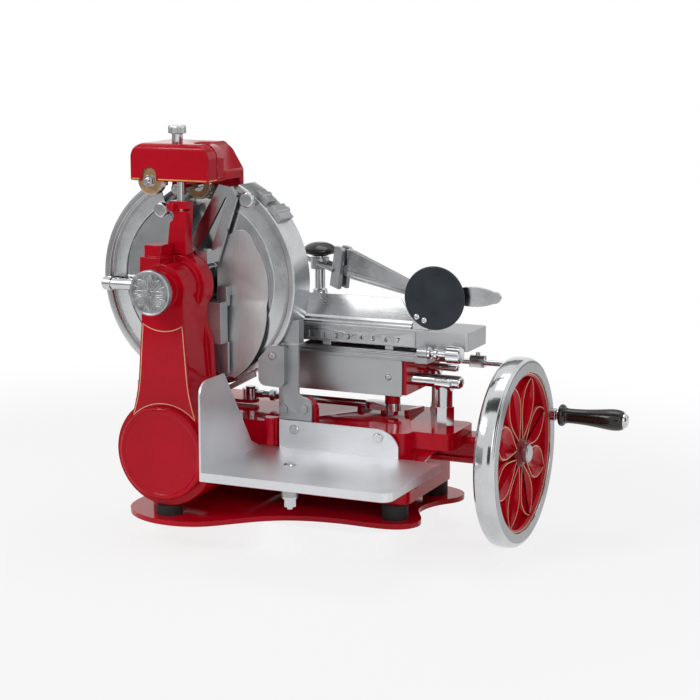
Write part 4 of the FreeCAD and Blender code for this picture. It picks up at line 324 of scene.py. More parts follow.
class Maker:
    """Puts meshes into the scene and fixes each to its body, slot and nodes."""

    def __init__(self) -> None:
        """Starts with no pieces."""
        self.count = 0

    @staticmethod
    def mesh(name: str, grids: list[np.ndarray], loop_u: bool, loop_v: bool, caps: bool) -> bpy.types.Mesh:
        """Joins grids of points into one closed mesh of quads.

        The quad of cell (i, j) has corners (i, j), (i+1, j), (i+1, j+1) and (i, j+1).

        Args:
            name: The mesh's name.
            grids: Arrays of points, rows by columns by 3.
            loop_u: Whether the last row joins the first.
            loop_v: Whether the last column joins the first.
            caps: Whether the first and last row are closed with a face.

        Returns:
            The mesh, with doubles merged and faces turned outwards.
        """
        points, faces, base = [], [], 0
        for grid in grids:
            rows, columns = grid.shape[:2]
            index = np.arange(rows * columns).reshape(rows, columns) + base
            low = index if loop_u else index[:-1]
            high = np.roll(index, -1, 0) if loop_u else index[1:]
            cut = slice(None) if loop_v else slice(0, -1)
            quads = np.stack([low[:, cut], high[:, cut], np.roll(high, -1, 1)[:, cut],
                              np.roll(low, -1, 1)[:, cut]], -1)
            points.append(grid.reshape(-1, 3))
            faces.extend(quads.reshape(-1, 4).tolist())
            if caps:
                faces.extend([index[0].tolist(), index[-1][::-1].tolist()])
            base += rows * columns
        mesh = bpy.data.meshes.new(name)
        mesh.from_pydata(np.concatenate(points), [], faces)
        shape = bmesh.new()
        shape.from_mesh(mesh)
        bmesh.ops.remove_doubles(shape, verts=shape.verts, dist=2e-6)
        bmesh.ops.dissolve_degenerate(shape, dist=1e-7, edges=shape.edges)
        bmesh.ops.recalc_face_normals(shape, faces=shape.faces)
        shape.to_mesh(mesh)
        shape.free()
        return mesh

    @staticmethod
    def merged(node: str) -> bpy.types.Mesh:
        """Copy of a CAD node's mesh, merged and with its flat faces made whole.

        Args:
            node: The CAD node.

        Returns:
            The copy.
        """
        mesh = frame["nodes"][node].data.copy()
        shape = bmesh.new()
        shape.from_mesh(mesh)
        bmesh.ops.remove_doubles(shape, verts=shape.verts, dist=WELD)
        bmesh.ops.dissolve_limit(shape, angle_limit=FLAT_ANGLE, verts=shape.verts, edges=shape.edges,
                                 delimit=set())
        shape.to_mesh(mesh)
        shape.free()
        mesh.name = node + "_dressed"
        return mesh

    def place(self, name: str, mesh: bpy.types.Mesh, finish: Finish, body: str, nodes: tuple = (),
              sharp: float = 35.0) -> bpy.types.Object:
        """Makes the object, dresses it and fixes it to its body.

        Args:
            name: The piece's name.
            mesh: Its mesh, already in place.
            finish: Its finish.
            body: The CAD body that it rides on.
            nodes: CAD nodes that it stands for.
            sharp: Edges that turn by more degrees than this stay sharp.

        Returns:
            The object.
        """
        mesh.materials.clear()
        mesh.materials.append(finish.material())
        mesh.shade_smooth()
        mesh.set_sharp_from_angle(angle=math.radians(sharp))
        piece = bpy.data.objects.new(name, mesh)
        bpy.context.scene.collection.objects.link(piece)
        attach(piece, body)
        if nodes:
            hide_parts(*nodes)
        self.count += 1
        LOG.info("%s: %d faces", name, len(mesh.polygons))
        return piece

    def grid(self, name: str, grids: list[np.ndarray], finish: Finish, body: str, nodes: tuple = (),
             loop_u: bool = True, loop_v: bool = True, caps: bool = False, sharp: float = 35.0) -> bpy.types.Object:
        """Makes one piece from grids of points; the arguments are those of mesh and place."""
        return self.place(name, self.mesh(name, grids, loop_u, loop_v, caps), finish, body, nodes, sharp)

    def carry(self, node: str, finish: Finish, rounding: float = 0.5, clamp: bool = True) -> bpy.types.Object:
        """Keeps a CAD node's shape, with its edges rounded.

        Args:
            node: The CAD node.
            finish: Its finish.
            rounding: Width of the rounded edges, in mm; 0 leaves them sharp.
            clamp: Whether the rounding narrows next to short edges.

        Returns:
            The piece that stands for the node.
        """
        body = frame["nodes"][node]["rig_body"]
        piece = self.place(node + "_dressed", self.merged(node), finish, body, (node,), sharp=28.0)
        if rounding:
            bevel = piece.modifiers.new("rounded_edges", "BEVEL")
            bevel.width = rounding * MM
            bevel.segments = 3
            bevel.use_clamp_overlap = clamp
            bevel.limit_method = "ANGLE"
            bevel.angle_limit = EDGE_ANGLE
            bevel.harden_normals = False
            bevel.miter_outer = "MITER_ARC"
        return piece


@dataclass
class Flywheel:
    """Chrome rim, red cast centre with petals, and the turned crank grip."""

    petals: int = 8
    petal_half: float = 27.5
    petal_start: float = 18.0
    petal_end: float = 117.0
    dish: float = 9.0
    line: float = 1.5

    def frame_sizes(self) -> tuple[Vector, float, float, float]:
        """The wheel's centre, outer radius, back and front, read from the CAD rim."""
        low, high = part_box("flywheel_rim")
        return (low + high) / 2, (high.z - low.z) / 2, low.x, high.x

    def rim(self, make: Maker) -> None:
        """Crowned tread with beaded edges, and the flat gray face that is let into it."""
        centre, radius, back, front = self.frame_sizes()
        r, w = radius / MM, (front - back) / MM
        inner = r - 23
        profile = [(inner, 0), (r - 9, 0), (r - 5, 0.8), (r - 3.6, 2.6), (r - 1.6, 4.4), (r - 0.5, w * 0.3),
                   (r, w * 0.5), (r - 0.5, w * 0.7), (r - 1.6, w - 4.4), (r - 3.6, w - 2.6), (r - 5, w - 0.8),
                   (r - 9, w), (inner, w)]
        tread = revolved(softened(profile, 1.4), (back, centre.y, centre.z), Axis.X, 192)
        make.grid("flywheel_tread", [tread], CHROME, "flywheel", ("flywheel_rim",))
        faces = []
        for place, lift in ((front, 0.12), (back - 0.12 * MM, 0.12)):
            band = [(inner + 0.6, -0.2), (r - 8.4, -0.2), (r - 8.4, lift), (inner + 0.6, lift)]
            faces.append(revolved(softened(band, 0.05, 2), (place, centre.y, centre.z), Axis.X, 192))
        make.grid("flywheel_faces", faces, GRAY, "flywheel")

    def petal_path(self, share: float, count: int) -> tuple[np.ndarray, np.ndarray]:
        """Outline of one petal: across = share w(u), out = start + reach u, w(u) = half sin(pi u^1.35)^0.8.

        Args:
            share: Which share of the half width, from 0 to 1.
            count: Points along the petal.

        Returns:
            Distances out from the hub and across the petal, in mm.
        """
        u = np.linspace(0, 1, count)
        width = self.petal_half * np.sin(math.pi * u ** 1.35).clip(0) ** 0.8
        return self.petal_start + (self.petal_end - self.petal_start) * u, width * share

    def spin(self, out: np.ndarray, across: np.ndarray, along: np.ndarray, number: float) -> np.ndarray:
        """Turns a petal's points about the wheel's axis.

        Args:
            out: Distance out from the hub, mm.
            across: Distance across the petal, mm.
            along: Place along the wheel's axis, mm.
            number: Which petal.

        Returns:
            Points in the part's frame, metres.
        """
        centre = self.frame_sizes()[0]
        turn = 2 * math.pi * (number + 0.5) / self.petals
        y = out * math.sin(turn) + across * math.cos(turn)
        z = out * math.cos(turn) - across * math.sin(turn)
        return np.stack([along * MM, centre.y + y * MM, centre.z + z * MM], -1)

    def centre(self, make: Maker) -> None:
        """Ring, web, hub and dished petals, with a cream line round every petal."""
        centre, radius, back, front = self.frame_sizes()
        inner = radius / MM - 23
        seat = (back + 8 * MM, centre.y, centre.z)
        ring = [(inner - 7, 0), (inner, 0), (inner, 21.5), (inner - 5, 21.5), (inner - 7, 17)]
        web = [(62, 4), (inner - 5, 4), (inner - 5, 9), (62, 9)]
        hub = [(9.2, -7.8), (19, -7.8), (21, 0), (24, 12), (22, 18), (17, 23.5), (9.2, 23.5)]
        parts = [revolved(softened(p, s), seat, Axis.X, 144) for p, s in ((ring, 1.6), (web, 1.0))]
        count = 49
        front_x, back_x = back / MM + 25.5, back / MM + 10
        shape = [(-1, 0), (-1, 0.72), (-0.95, 0.93), (-0.87, 1.0), (-0.79, 0.93)]
        section = np.array(shape + [(-0.6, -1), (-0.35, -1), (0, -1), (0.35, -1), (0.6, -1)]
                           + [(-b, h) for b, h in shape[::-1]])
        lines = []
        for number in range(self.petals):
            out, width = self.petal_path(1.0, count)
            across = width[:, None] * section[None, :, 0]
            depth = self.dish * np.sin(math.pi * np.linspace(0, 1, count)) ** 0.6
            bowl = front_x - 1.2 - depth[:, None] * (1 - (section[None, :, 0] / 0.79) ** 2)
            lip = back_x + (front_x - back_x) * section[None, :, 1]
            along = np.where(section[None, :, 1] < 0, bowl, lip)
            parts.append(self.spin(out[:, None] + 0 * across, across, along, number))
            side_out, side = self.petal_path(0.87, count)
            path_out = np.concatenate([side_out, side_out[-2::-1]])
            path_across = np.concatenate([side, -side[-2::-1]])
            path = self.spin(path_out, path_across, np.full(path_out.shape, front_x), number)
            lines.append(swept(path, np.array((1.0, 0, 0)), self.line * MM, 0.25 * MM))
        make.grid("flywheel_petals", parts, RED, "flywheel", ("flywheel_centre",), sharp=50)
        make.grid("flywheel_hub", [revolved(softened(hub, 2.0), seat, Axis.X, 96)], DARK_RED, "flywheel")
        angle = np.linspace(0, 2 * math.pi, 181)
        edge = (inner - 1.6) * MM
        circle = np.stack([0 * angle + seat[0] + 21.5 * MM, centre.y + edge * np.sin(angle),
                           centre.z + edge * np.cos(angle)], -1)
        lines.append(swept(circle, np.array((1.0, 0, 0)), self.line * MM, 0.25 * MM))
        make.grid("flywheel_lines", lines, CREAM, "flywheel", loop_u=False, caps=False)

    def grip(self, make: Maker) -> None:
        """Black grip: collar, groove, waist and swelling end, turned about the spindle."""
        low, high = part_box("crank_grip")
        axis = (low + high) / 2
        n = (high.x - low.x) / MM
        profile = [(5.1, 0), (12.5, 0), (16.6, 1.2), (17.4, 4.4), (16.4, 7.6), (13.6, 9.2), (12.0, 10.4), (12.6, 12),
                   (11.6, 13.4), (11.6, n * 0.24), (12.4, n * 0.42), (14.2, n * 0.6), (16.2, n * 0.76),
                   (16.9, n * 0.86), (15.9, n * 0.95), (13.6, n), (5.1, n)]
        grip = revolved(softened(profile, 8.0, 6), (low.x, axis.y, axis.z), Axis.X, 96)
        make.grid("crank_grip_turned", [grip], BLACK, "grip", ("crank_grip",), sharp=50)
        make.carry("grip_spindle", CHROME, 0.4)

    def build(self, make: Maker) -> None:
        """Makes the whole wheel."""
        self.rim(make)
        self.centre(make)
        self.grip(make)
        make.carry("main_shaft", TURNED_STEEL, 0.4)


@dataclass
class Base:
    """Wavy tray, feet, bed and the arm of the flywheel's bearing."""

    tray_edge: float = 2.4
    casting_edge: float = 1.6

    def build(self, make: Maker) -> None:
        """Makes the red castings and the feet."""
        make.carry("base_tray", RED, self.tray_edge)
        make.carry("rubber_feet", RUBBER, 1.0)
        make.carry("bed_casting", RED, self.casting_edge)
        make.carry("bearing_arm", RED, self.casting_edge)
        make.carry("shaft_bushes", BRONZE, 0.3)
        for node in ("cross_shaft", "crank_gear"):
            make.carry(node, TURNED_STEEL, 0.0)
        make.carry("crank_arm", RED, 0.8)
        make.carry("drive_chain", TURNED_STEEL, 0.0)


@dataclass
class Column:
    """Gear column with its pin-stripes, round cover, rosette knob and bearing."""

    stripe: float = 1.3
    stripe_inset: float = 3.2
    panel_top: float = 300.0
    panel_foot: float = 158.0
    panel_back: float = 22.0
    head_z: float = 353.0
    head_arc: float = 62.0
    drum_z: float = 105.0
    tower_heights: tuple[float, ...] = (150, 158, 170, 182, 198, 215, 306)
    tower_halves: tuple[float, ...] = (58, 56.2, 52.6, 49, 45.4, 43, 36)
    rosette_petals: int = 8

    def tower_half(self, z: np.ndarray) -> np.ndarray:
        """Half width of the tower's front at height z, mm: nearly straight above the waist, flared below."""
        return np.interp(z, self.tower_heights, self.tower_halves)

    def arc(self, height: float, radius: float, half: float, count: int) -> tuple[np.ndarray, np.ndarray]:
        """Arc above an axis: z = height + sqrt(radius^2 - x^2), from -half to half."""
        x = np.linspace(-half, half, count)
        return x, height + np.sqrt(radius ** 2 - x ** 2)

    def stripes(self, make: Maker) -> None:
        """Cream outline of the tower's front panel: it sags at the top and arches over the drum below."""
        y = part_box("gear_column")[0].y / MM + self.panel_back
        z = np.linspace(self.panel_top, self.panel_foot, 44)
        half = self.tower_half(z) - self.stripe_inset
        drop = self.panel_top - self.arc(self.head_z, self.head_arc, half[0], 2)[1][0]
        top_x, top_z = self.arc(self.head_z, self.head_arc, half[0], 25)
        low_x, low_z = self.arc(self.drum_z, math.hypot(half[-1], self.panel_foot - self.drum_z), half[-1], 33)
        top_z = 2 * self.panel_top - (top_z + drop)
        x_path = np.concatenate([top_x, half[1:], low_x[::-1][1:], -half[::-1][1:]])
        z_path = np.concatenate([top_z, z[1:], low_z[::-1][1:], z[::-1][1:]])
        path = np.stack([x_path, np.full(x_path.shape, y), z_path], -1) * MM
        panel = swept(path, np.array((0, -1.0, 0)), self.stripe * MM, 0.2 * MM)
        make.grid("column_stripes", [panel], CREAM, "frame", loop_u=False)

    def rosette(self, make: Maker) -> None:
        """Pewter knob whose face carries eight looped petals in relief.

        Height over the face is a ridge where the distance to a petal's outline is small,
        plus a drop in the middle of each petal: h = sum of exp(-(d / width)^2).
        """
        low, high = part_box("rosette_knob")
        centre, radius = (low + high) / 2, (high.z - low.z) / 2 / MM
        rings, turns = 96, 384
        r = np.linspace(0, radius - 4.0, rings)[None, :]
        a = np.linspace(0, 2 * math.pi, turns, endpoint=False)[:, None]
        sector = 2 * math.pi / self.rosette_petals
        local = (a + sector / 2) % sector - sector / 2
        out, across = r * np.cos(local), np.abs(r * np.sin(local))
        share = np.clip((out - 3.0) / (radius - 10.0), 0, 1)
        half = 6.0 * np.sin(math.pi * share) ** 0.85
        ridge = np.exp(-((across - half) / 0.75) ** 2) * (share > 0.02) * (share < 0.98)
        drop = 0.8 * np.exp(-((across - 0.45 * half) / 0.6) ** 2) * (share > 0.3) * (share < 0.85)
        between = (a % sector) - sector / 2
        spear = 0.9 * np.exp(-(np.abs(r * np.sin(between)) / 0.9) ** 2) * np.exp(-((r - radius + 12) / 6.5) ** 2)
        button = 1.0 * (r < 3.2)
        height = np.maximum.reduce([ridge, drop, spear, button + 0 * a]) * 0.9
        face = 15.0 + height
        rim = [(radius - 3.4, 15.2), (radius - 2.6, 15.9), (radius - 1.2, 15.7), (radius - 0.2, 14.0), (radius, 12.5),
               (radius, 6.5), (radius - 1.0, 4.2), (radius - 8, 0.4), (0, 0)]
        rim_r = np.array([p[0] for p in rim])[None, :] + 0 * a
        rim_s = np.array([p[1] for p in rim])[None, :] + 0 * a
        all_r = np.concatenate([r + 0 * a, rim_r], 1) * MM
        all_s = np.concatenate([face, rim_s], 1) * MM
        points = np.stack([centre.x + all_r * np.sin(a), high.y - all_s, centre.z + all_r * np.cos(a)], -1)
        make.grid("rosette_relief", [points], PEWTER, "rosette", ("rosette_knob",), loop_v=False, sharp=60)

    def build(self, make: Maker) -> None:
        """Makes the column and what it carries at the front."""
        make.carry("gear_column", RED, 1.3, False)
        make.carry("drum_cover", RED, 1.0)
        self.stripes(make)
        self.rosette(make)
        make.carry("sharpener_post", RED, 1.2, False)
        make.carry("blade_bearing", MIRROR, 0.5)


@dataclass
class Sharpener:
    """Red hood with its gold stripe, the stones and the screw on top."""

    stripe: float = 1.8
    stripe_lift: float = 26.6
    stripe_gap: tuple[float, float] = (-58.0, -26.0)
    stripe_stop: float = -43.5
    corner: float = 3.0
    knurls: int = 44

    def stripes(self, make: Maker) -> None:
        """Gold line along the hood's lower edge, on its front and its right side."""
        low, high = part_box("sharpener_hood")
        z = low.z + self.stripe_lift * MM
        bands = []
        inset = self.corner * MM
        for x0, x1 in ((low.x + inset, self.stripe_gap[0] * MM), (self.stripe_gap[1] * MM, high.x - inset)):
            path = np.linspace((x0, low.y, z), (x1, low.y, z), 12)
            bands.append(swept(path, np.array((0, -1.0, 0)), self.stripe * MM, 0.15 * MM))
        path = np.linspace((high.x, low.y + inset, z), (high.x, self.stripe_stop * MM, z), 12)
        bands.append(swept(path, np.array((1.0, 0, 0)), self.stripe * MM, 0.15 * MM))
        make.grid("hood_stripes", bands, GOLD, "sharpener", loop_u=False, caps=True)

    def screw(self, make: Maker) -> None:
        """Knurled screw: radius = R + 0.35 |sin(n a)| on the head, plain on the shank."""
        low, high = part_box("lift_screw")
        centre, radius = (low + high) / 2, (high.x - low.x) / 2 / MM
        n = (high.z - low.z) / MM
        profile = softened([(0, 0), (8.5, 0), (8.5, 14), (radius - 0.6, 14.6), (radius - 0.4, 16),
                            (radius - 0.4, n - 3), (radius - 1.6, n - 0.4), (0, n)], 0.8)
        steps = self.knurls * 8
        grid = revolved(profile, (centre.x, centre.y, low.z), Axis.Z, steps)
        angle = np.linspace(0, 2 * math.pi, steps, endpoint=False)
        on_head = (profile[:, 0] > (radius - 1.2) * MM)[None, :, None]
        push = 1 - 0.035 * (0.5 + 0.5 * np.cos(self.knurls * angle))[:, None, None] * on_head
        grid[..., :2] = centre.to_tuple()[:2] + (grid[..., :2] - centre.to_tuple()[:2]) * push
        make.grid("lift_screw_knurled", [grid], CHROME, "top_screw", ("lift_screw",))

    def stones(self, make: Maker) -> None:
        """Stone rings over the CAD wheels, whose steel spindles stay."""
        for node, body in (("front_stone", "stone_front"), ("rear_stone", "stone_rear")):
            low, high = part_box(node)
            centre, radius = (low + high) / 2, (high.z - low.z) / 2 / MM
            y = -66.0 if node == "front_stone" else 28.0
            ring = [(9.0, -0.15), (radius - 2, -0.15), (radius, 2), (radius, 12), (radius - 2, 14.15), (9.0, 14.15)]
            grid = revolved(softened(ring, 1.2), (centre.x, y * MM, centre.z), Axis.Y, 96)
            make.grid(node + "_ring", [grid], STONE, body)
            make.carry(node, CHROME, 0.3)

    def build(self, make: Maker) -> None:
        """Makes the sharpener."""
        make.carry("sharpener_hood", RED, 2.0, False)
        self.stripes(make)
        self.stones(make)
        self.screw(make)
        make.carry("lift_rod", CHROME, 0.3)


@dataclass
class BladeUnit:
    """Blade, polished guard ring, cover plate, deflector and their small fittings."""

    mouth: float = 26.0
    steps: int = 220

    def ring(self, make: Maker) -> None:
        """Guard: flat lip, dark groove, bright cone and deep skirt, turned about the blade's axis."""
        low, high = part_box("blade_guard")
        r = (high.x - low.x) / 2 / MM
        centre_z = (low.z / MM + r) * MM
        inner = r - 38
        depth = (high.y - low.y) / MM
        profile = [(inner, 4.0), (inner + 1.5, 4.4), (inner + 12, 5.4), (inner + 21, 6.2), (r - 11.0, 6.0),
                   (r - 10.6, 5.6), (r - 10.5, 0.9), (r - 9.9, 0.1), (r - 8.6, 0), (r - 2.4, 0), (r - 0.5, 0.6),
                   (r, 2.4),
                   (r, depth - 0.5), (r - 0.8, depth), (r - 2.4, depth), (r - 3, depth - 0.5), (r - 3, 4.6),
                   (r - 8, 4.2), (r - 9.2, 8), (inner + 22, 10), (inner + 12, 7.5), (inner, 7.5)]
        grid = revolved(softened(profile, 0.7, 3), (0, low.y, centre_z), Axis.Y, self.steps,
                        (self.mouth, 360 - self.mouth))
        make.grid("guard_ring", [grid], MIRROR, "frame", ("blade_guard",), loop_u=False, caps=True, sharp=32)

    def build(self, make: Maker) -> None:
        """Makes the blade unit."""
        self.ring(make)
        for node, finish, edge in (
                ("cutting_blade", CHROME, 0.0), ("blade_hub", CHROME, 0.5), ("blade_shaft", TURNED_STEEL, 0.3),
                ("blade_cover", MIRROR, 0.3), ("guard_arm", CHROME, 0.6), ("cover_knob", MIRROR, 0.7),
                ("guard_knob", MIRROR, 0.7), ("guard_latch", GRAY, 0.8), ("ring_stays", MIRROR, 0.7),
                ("slice_deflector", BELLIED, 0.4), ("deflector_bracket", GRAY, 0.7), ("guard_strut", GRAY, 0.6),
                ("strut_lock", GRAY, 0.8)):
            make.carry(node, finish, edge)


@dataclass
class Plate:
    """Receiving plate with its walls, fasteners and arm."""

    def build(self, make: Maker) -> None:
        """Makes the plate."""
        make.carry("receiving_plate", SATIN, 0.6)
        make.carry("plate_fasteners", CHROME, 0.4)
        make.carry("plate_arm", GRAY, 1.0)


@dataclass
class Carriage:
    """Slide bars and columns, the carriage and its drive rod."""

    def build(self, make: Maker) -> None:
        """Makes the carriage."""
        for node, finish, edge in (
                ("bar_bracket", GRAY, 0.8), ("slide_bars", CHROME, 0.3), ("bar_columns", CHROME, 0.5),
                ("carriage_casting", RED, 1.0), ("carriage_cover", BRUSHED, 0.5), ("carriage_top", GRAY, 0.5),
                ("rod_pin", CHROME, 0.3), ("connecting_rod", CHROME, 0.4), ("feed_shaft", CHROME, 0.5),
                ("feed_knob", CHROME, 0.4)):
            make.carry(node, finish, edge)


@dataclass
class MeatTable:
    """Table slab, thickness scale, fence, hand shield and press."""

    numbers: int = 8
    first_mark: float = 160.0
    mark_step: float = 20.5

    def scale(self, make: Maker) -> None:
        """Raised numbers beside the scale's marks."""
        low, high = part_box("scale_strip")
        for number in range(self.numbers):
            text = bpy.data.curves.new("scale_number", "FONT")
            text.body = str(number)
            text.size = 11 * MM
            text.extrude = 0.35 * MM
            text.bevel_depth = 0.12 * MM
            text.resolution_u = 3
            holder = bpy.data.objects.new("scale_number_text", text)
            bpy.context.scene.collection.objects.link(holder)
            bpy.context.view_layer.update()
            mesh = bpy.data.meshes.new_from_object(holder.evaluated_get(bpy.context.evaluated_depsgraph_get()))
            bpy.data.objects.remove(holder)
            points = np.zeros(len(mesh.vertices) * 3, np.float32)
            mesh.vertices.foreach_get("co", points)
            flat = points.reshape(-1, 3)
            x = (self.first_mark + self.mark_step * number + 4.6) * MM
            placed = np.stack([flat[:, 0] + x, low.y + 1.0 * MM - flat[:, 2], flat[:, 1] + low.z + 4.2 * MM], -1)
            mesh.vertices.foreach_set("co", placed.astype(np.float32).ravel())
            mesh.name = "scale_number_%d" % number
            make.place("scale_number_%d" % number, mesh, DARK_NUMBERS, "table")

    def build(self, make: Maker) -> None:
        """Makes the table and the press."""
        for node, finish, edge in (
                ("meat_table", BRUSHED, 0.8), ("scale_strip", SHEET, 0.3), ("fence", SHEET, 0.4),
                ("shield_disc", DISC, 0.5), ("shield_mount", CHROME, 0.5), ("press_post", MIRROR, 0.8),
                ("press_bracket", GRAY, 0.8), ("press_arm", MIRROR, 0.7), ("press_knob", BLACK, 1.5)):
            make.carry(node, finish, edge)
        self.scale(make)


@dataclass
class Studio:
    """Pale floor, plinth under the tray, soft light and the camera."""

    camera_place: tuple[float, float, float] = (1.4032, -2.5382, 0.7794)
    azimuth: float = 24.3
    elevation: float = 10.5
    focal: float = 97.7
    floor_z: float = -0.0415
    plinth_inset: float = 0.03
    plinth_corner: float = 0.05
    white_share: float = 0.8
    shadow_reach: tuple[float, float] = (0.75, 1.5)

    def backdrop_material(self) -> bpy.types.Material:
        """White floor whose own light shows to the camera and in metal, so that its shadow stays faint."""
        material = bpy.data.materials.new("studio_white")
        material.use_nodes = True
        nodes, links = material.node_tree.nodes, material.node_tree.links
        paint = nodes["Principled BSDF"]
        paint.inputs["Base Color"].default_value = (0.9, 0.9, 0.9, 1)
        paint.inputs["Roughness"].default_value = 0.9
        paint.inputs["Specular IOR Level"].default_value = 0.0
        glow = nodes.new("ShaderNodeEmission")
        glow.inputs["Strength"].default_value = 1.0
        ray = nodes.new("ShaderNodeLightPath")
        seen = nodes.new("ShaderNodeMath")
        seen.operation = "MAXIMUM"
        links.new(ray.outputs["Is Camera Ray"], seen.inputs[0])
        links.new(ray.outputs["Is Glossy Ray"], seen.inputs[1])
        place = nodes.new("ShaderNodeTexCoord")
        away = nodes.new("ShaderNodeVectorMath")
        away.operation = "LENGTH"
        links.new(place.outputs["Object"], away.inputs[0])
        fade = nodes.new("ShaderNodeMapRange")
        fade.interpolation_type = "SMOOTHSTEP"
        fade.inputs["From Min"].default_value = self.shadow_reach[0]
        fade.inputs["From Max"].default_value = self.shadow_reach[1]
        fade.inputs["To Min"].default_value = self.white_share
        fade.inputs["To Max"].default_value = 1.0
        links.new(away.outputs["Value"], fade.inputs["Value"])
        share = nodes.new("ShaderNodeMath")
        share.operation = "MULTIPLY"
        links.new(fade.outputs["Result"], share.inputs[1])
        links.new(seen.outputs[0], share.inputs[0])
        mix = nodes.new("ShaderNodeMixShader")
        links.new(share.outputs[0], mix.inputs[0])
        links.new(paint.outputs[0], mix.inputs[1])
        links.new(glow.outputs[0], mix.inputs[2])
        links.new(mix.outputs[0], nodes["Material Output"].inputs["Surface"])
        return material

    def panel(self, name: str, centre: tuple, size: tuple, facing: tuple, material: bpy.types.Material,
              seen: bool) -> None:
        """Flat stage panel.

        Args:
            name: Its name.
            centre: Its middle.
            size: Width and height.
            facing: Direction of its face.
            material: Its material.
            seen: Whether the camera sees it; otherwise it shows only as a reflection.
        """
        w, h = size[0] / 2, size[1] / 2
        mesh = bpy.data.meshes.new(name)
        mesh.from_pydata([(-w, -h, 0), (w, -h, 0), (w, h, 0), (-w, h, 0)], [], [(0, 1, 2, 3)])
        mesh.materials.append(material)
        panel = bpy.data.objects.new(name, mesh)
        panel.location = centre
        panel.rotation_euler = Vector(facing).to_track_quat("Z", "Y").to_euler()
        bpy.context.scene.collection.objects.link(panel)
        if not seen:
            panel.visible_camera = False
            panel.visible_diffuse = False
            panel.visible_shadow = False
            panel.visible_transmission = False

    def flag_material(self, low: float, high: float) -> bpy.types.Material:
        """Gray card that gives the bright metal its contrast.

        Args:
            low: Brightness at its lower edge.
            high: Brightness at its upper edge.

        Returns:
            The card's material, which shades from one to the other.
        """
        material = bpy.data.materials.new("studio_flag")
        material.use_nodes = True
        nodes, links = material.node_tree.nodes, material.node_tree.links
        place = nodes.new("ShaderNodeTexCoord")
        split = nodes.new("ShaderNodeSeparateXYZ")
        links.new(place.outputs["Object"], split.inputs[0])
        shade = nodes.new("ShaderNodeMapRange")
        shade.inputs["From Min"].default_value = -0.5
        shade.inputs["From Max"].default_value = 0.5
        shade.inputs["To Min"].default_value = low
        shade.inputs["To Max"].default_value = high
        links.new(split.outputs["Y"], shade.inputs["Value"])
        glow = nodes.new("ShaderNodeEmission")
        links.new(shade.outputs["Result"], glow.inputs["Strength"])
        links.new(glow.outputs[0], nodes["Material Output"].inputs["Surface"])
        return material

    def plinth(self, material: bpy.types.Material) -> None:
        """Pale block under the tray, which follows the tray's outline a little inside it."""
        low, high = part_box("base_tray")
        inset, radius = self.plinth_inset, self.plinth_corner
        x0, x1, y0, y1 = low.x + inset, high.x - inset, low.y + inset + radius, high.y - inset
        profile = np.array([(x0, y0), (x1, y0), (x1, y1), (x0, y1)])
        corner = np.linspace(0, math.pi / 2, 9)
        centres = profile + radius * np.array([(1, 1), (-1, 1), (-1, -1), (1, -1)])
        turn = math.pi + np.arange(4)[:, None] * math.pi / 2 + corner[None, :]
        ring = centres[:, None] + radius * np.stack([np.cos(turn), np.sin(turn)], -1)
        ring = ring.reshape(-1, 2)
        rows = [np.column_stack([ring, np.full(len(ring), z)]) for z in (self.floor_z, -0.0004)]
        mesh = Maker.mesh("plinth", [np.stack(rows)], False, True, True)
        mesh.materials.append(material)
        block = bpy.data.objects.new("plinth", mesh)
        bpy.context.scene.collection.objects.link(block)

    def lamp(self, name: str, place: tuple, size: tuple, power: float) -> None:
        """Soft rectangular lamp aimed at the middle of the machine.

        Args:
            name: Its name.
            place: Where it stands.
            size: Width and height.
            power: Watts.
        """
        light = bpy.data.lights.new(name, "AREA")
        light.shape = "RECTANGLE"
        light.size, light.size_y = size
        light.energy = power
        lamp = bpy.data.objects.new(name, light)
        lamp.location = place
        lamp.rotation_euler = (Vector((0.2, 0.05, 0.25)) - Vector(place)).to_track_quat("-Z", "Y").to_euler()
        bpy.context.scene.collection.objects.link(lamp)

    def world(self, strength: float) -> None:
        """Even white surroundings: strength 1 for the camera and in metal, less as a light.

        Args:
            strength: How strongly the world lights matt surfaces.
        """
        world = bpy.data.worlds.new("studio_world")
        bpy.context.scene.world = world
        world.use_nodes = True
        nodes, links = world.node_tree.nodes, world.node_tree.links
        sky = nodes["Background"]
        sky.inputs["Color"].default_value = (1, 1, 1, 1)
        ray = nodes.new("ShaderNodeLightPath")
        seen = nodes.new("ShaderNodeMath")
        seen.operation = "MAXIMUM"
        links.new(ray.outputs["Is Camera Ray"], seen.inputs[0])
        links.new(ray.outputs["Is Glossy Ray"], seen.inputs[1])
        through = nodes.new("ShaderNodeMath")
        through.operation = "MAXIMUM"
        links.new(seen.outputs[0], through.inputs[0])
        links.new(ray.outputs["Is Transmission Ray"], through.inputs[1])
        level = nodes.new("ShaderNodeMapRange")
        level.inputs["To Min"].default_value = strength
        level.inputs["To Max"].default_value = 1.0
        links.new(through.outputs[0], level.inputs["Value"])
        links.new(level.outputs["Result"], sky.inputs["Strength"])

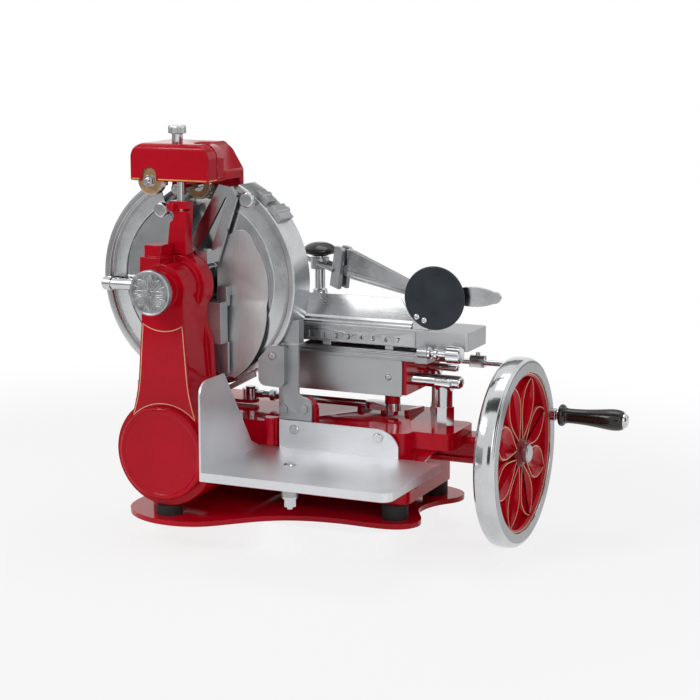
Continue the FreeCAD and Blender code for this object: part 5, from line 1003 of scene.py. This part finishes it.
    def camera(self) -> None:
        """Camera at the photograph's place, looking down a little from the front right."""
        data = bpy.data.cameras.new("camera")
        data.sensor_width = 36.0
        data.lens = self.focal
        data.clip_end = 900.0
        camera = bpy.data.objects.new("camera", data)
        a, e = math.radians(self.azimuth), math.radians(self.elevation)
        back = Vector((math.sin(a) * math.cos(e), -math.cos(a) * math.cos(e), math.sin(e)))
        camera.location = self.camera_place
        camera.rotation_mode = "QUATERNION"
        camera.rotation_quaternion = (-back).to_track_quat("-Z", "Y")
        bpy.context.scene.collection.objects.link(camera)
        bpy.context.scene.camera = camera

    def build(self) -> None:
        """Sets up the studio."""
        white = self.backdrop_material()
        self.panel("floor", (0, 0, self.floor_z), (800, 800), (0, 0, 1), white, True)
        self.plinth(white)
        dark = self.flag_material(0.03, 0.10)
        gray = self.flag_material(0.12, 0.50)
        self.panel("flag_left", (-2.0, -0.7, 0.6), (1.3, 2.2), (1.0, 0.35, 0), dark, False)
        self.panel("flag_front", (0.75, -2.9, 0.3), (0.9, 1.5), (0, 1, 0), dark, False)
        self.panel("flag_right", (2.5, 0.1, 0.6), (1.4, 2.2), (-1, 0, 0), dark, False)
        self.panel("flag_top", (0.1, -0.9, 2.4), (2.6, 0.8), (0, 0.3, -1), dark, False)
        self.panel("flag_back", (-0.2, 2.6, 1.9), (2.4, 0.9), (0, -1, -0.5), gray, False)
        self.panel("card_low_left", (-0.85, -1.75, 0.1), (1.3, 1.1), (0.43, 0.9, 0), gray, False)
        self.panel("card_low_back", (1.3, 1.9, 0.0), (1.6, 1.0), (-0.5, -0.9, 0), gray, False)
        self.lamp("key", (-1.6, -2.4, 2.4), (1.2, 0.9), 34)
        self.lamp("fill", (2.6, -2.0, 1.2), (1.2, 1.2), 9)
        self.lamp("top", (0.2, 0.6, 2.8), (1.6, 1.2), 14)
        self.world(0.36)
        self.camera()
        scene = bpy.context.scene
        scene.view_settings.view_transform = "Standard"


def main() -> None:
    """Builds every sub-assembly in order, then the studio."""
    logging.basicConfig(level=logging.INFO, format="%(name)s %(message)s")
    make = Maker()
    for part in (Base(), Column(), Sharpener(), BladeUnit(), Plate(), Carriage(), MeatTable(), Flywheel()):
        part.build(make)
    LOG.info("%d pieces", make.count)
    Studio().build()


if __name__ == "__main__":
    main()
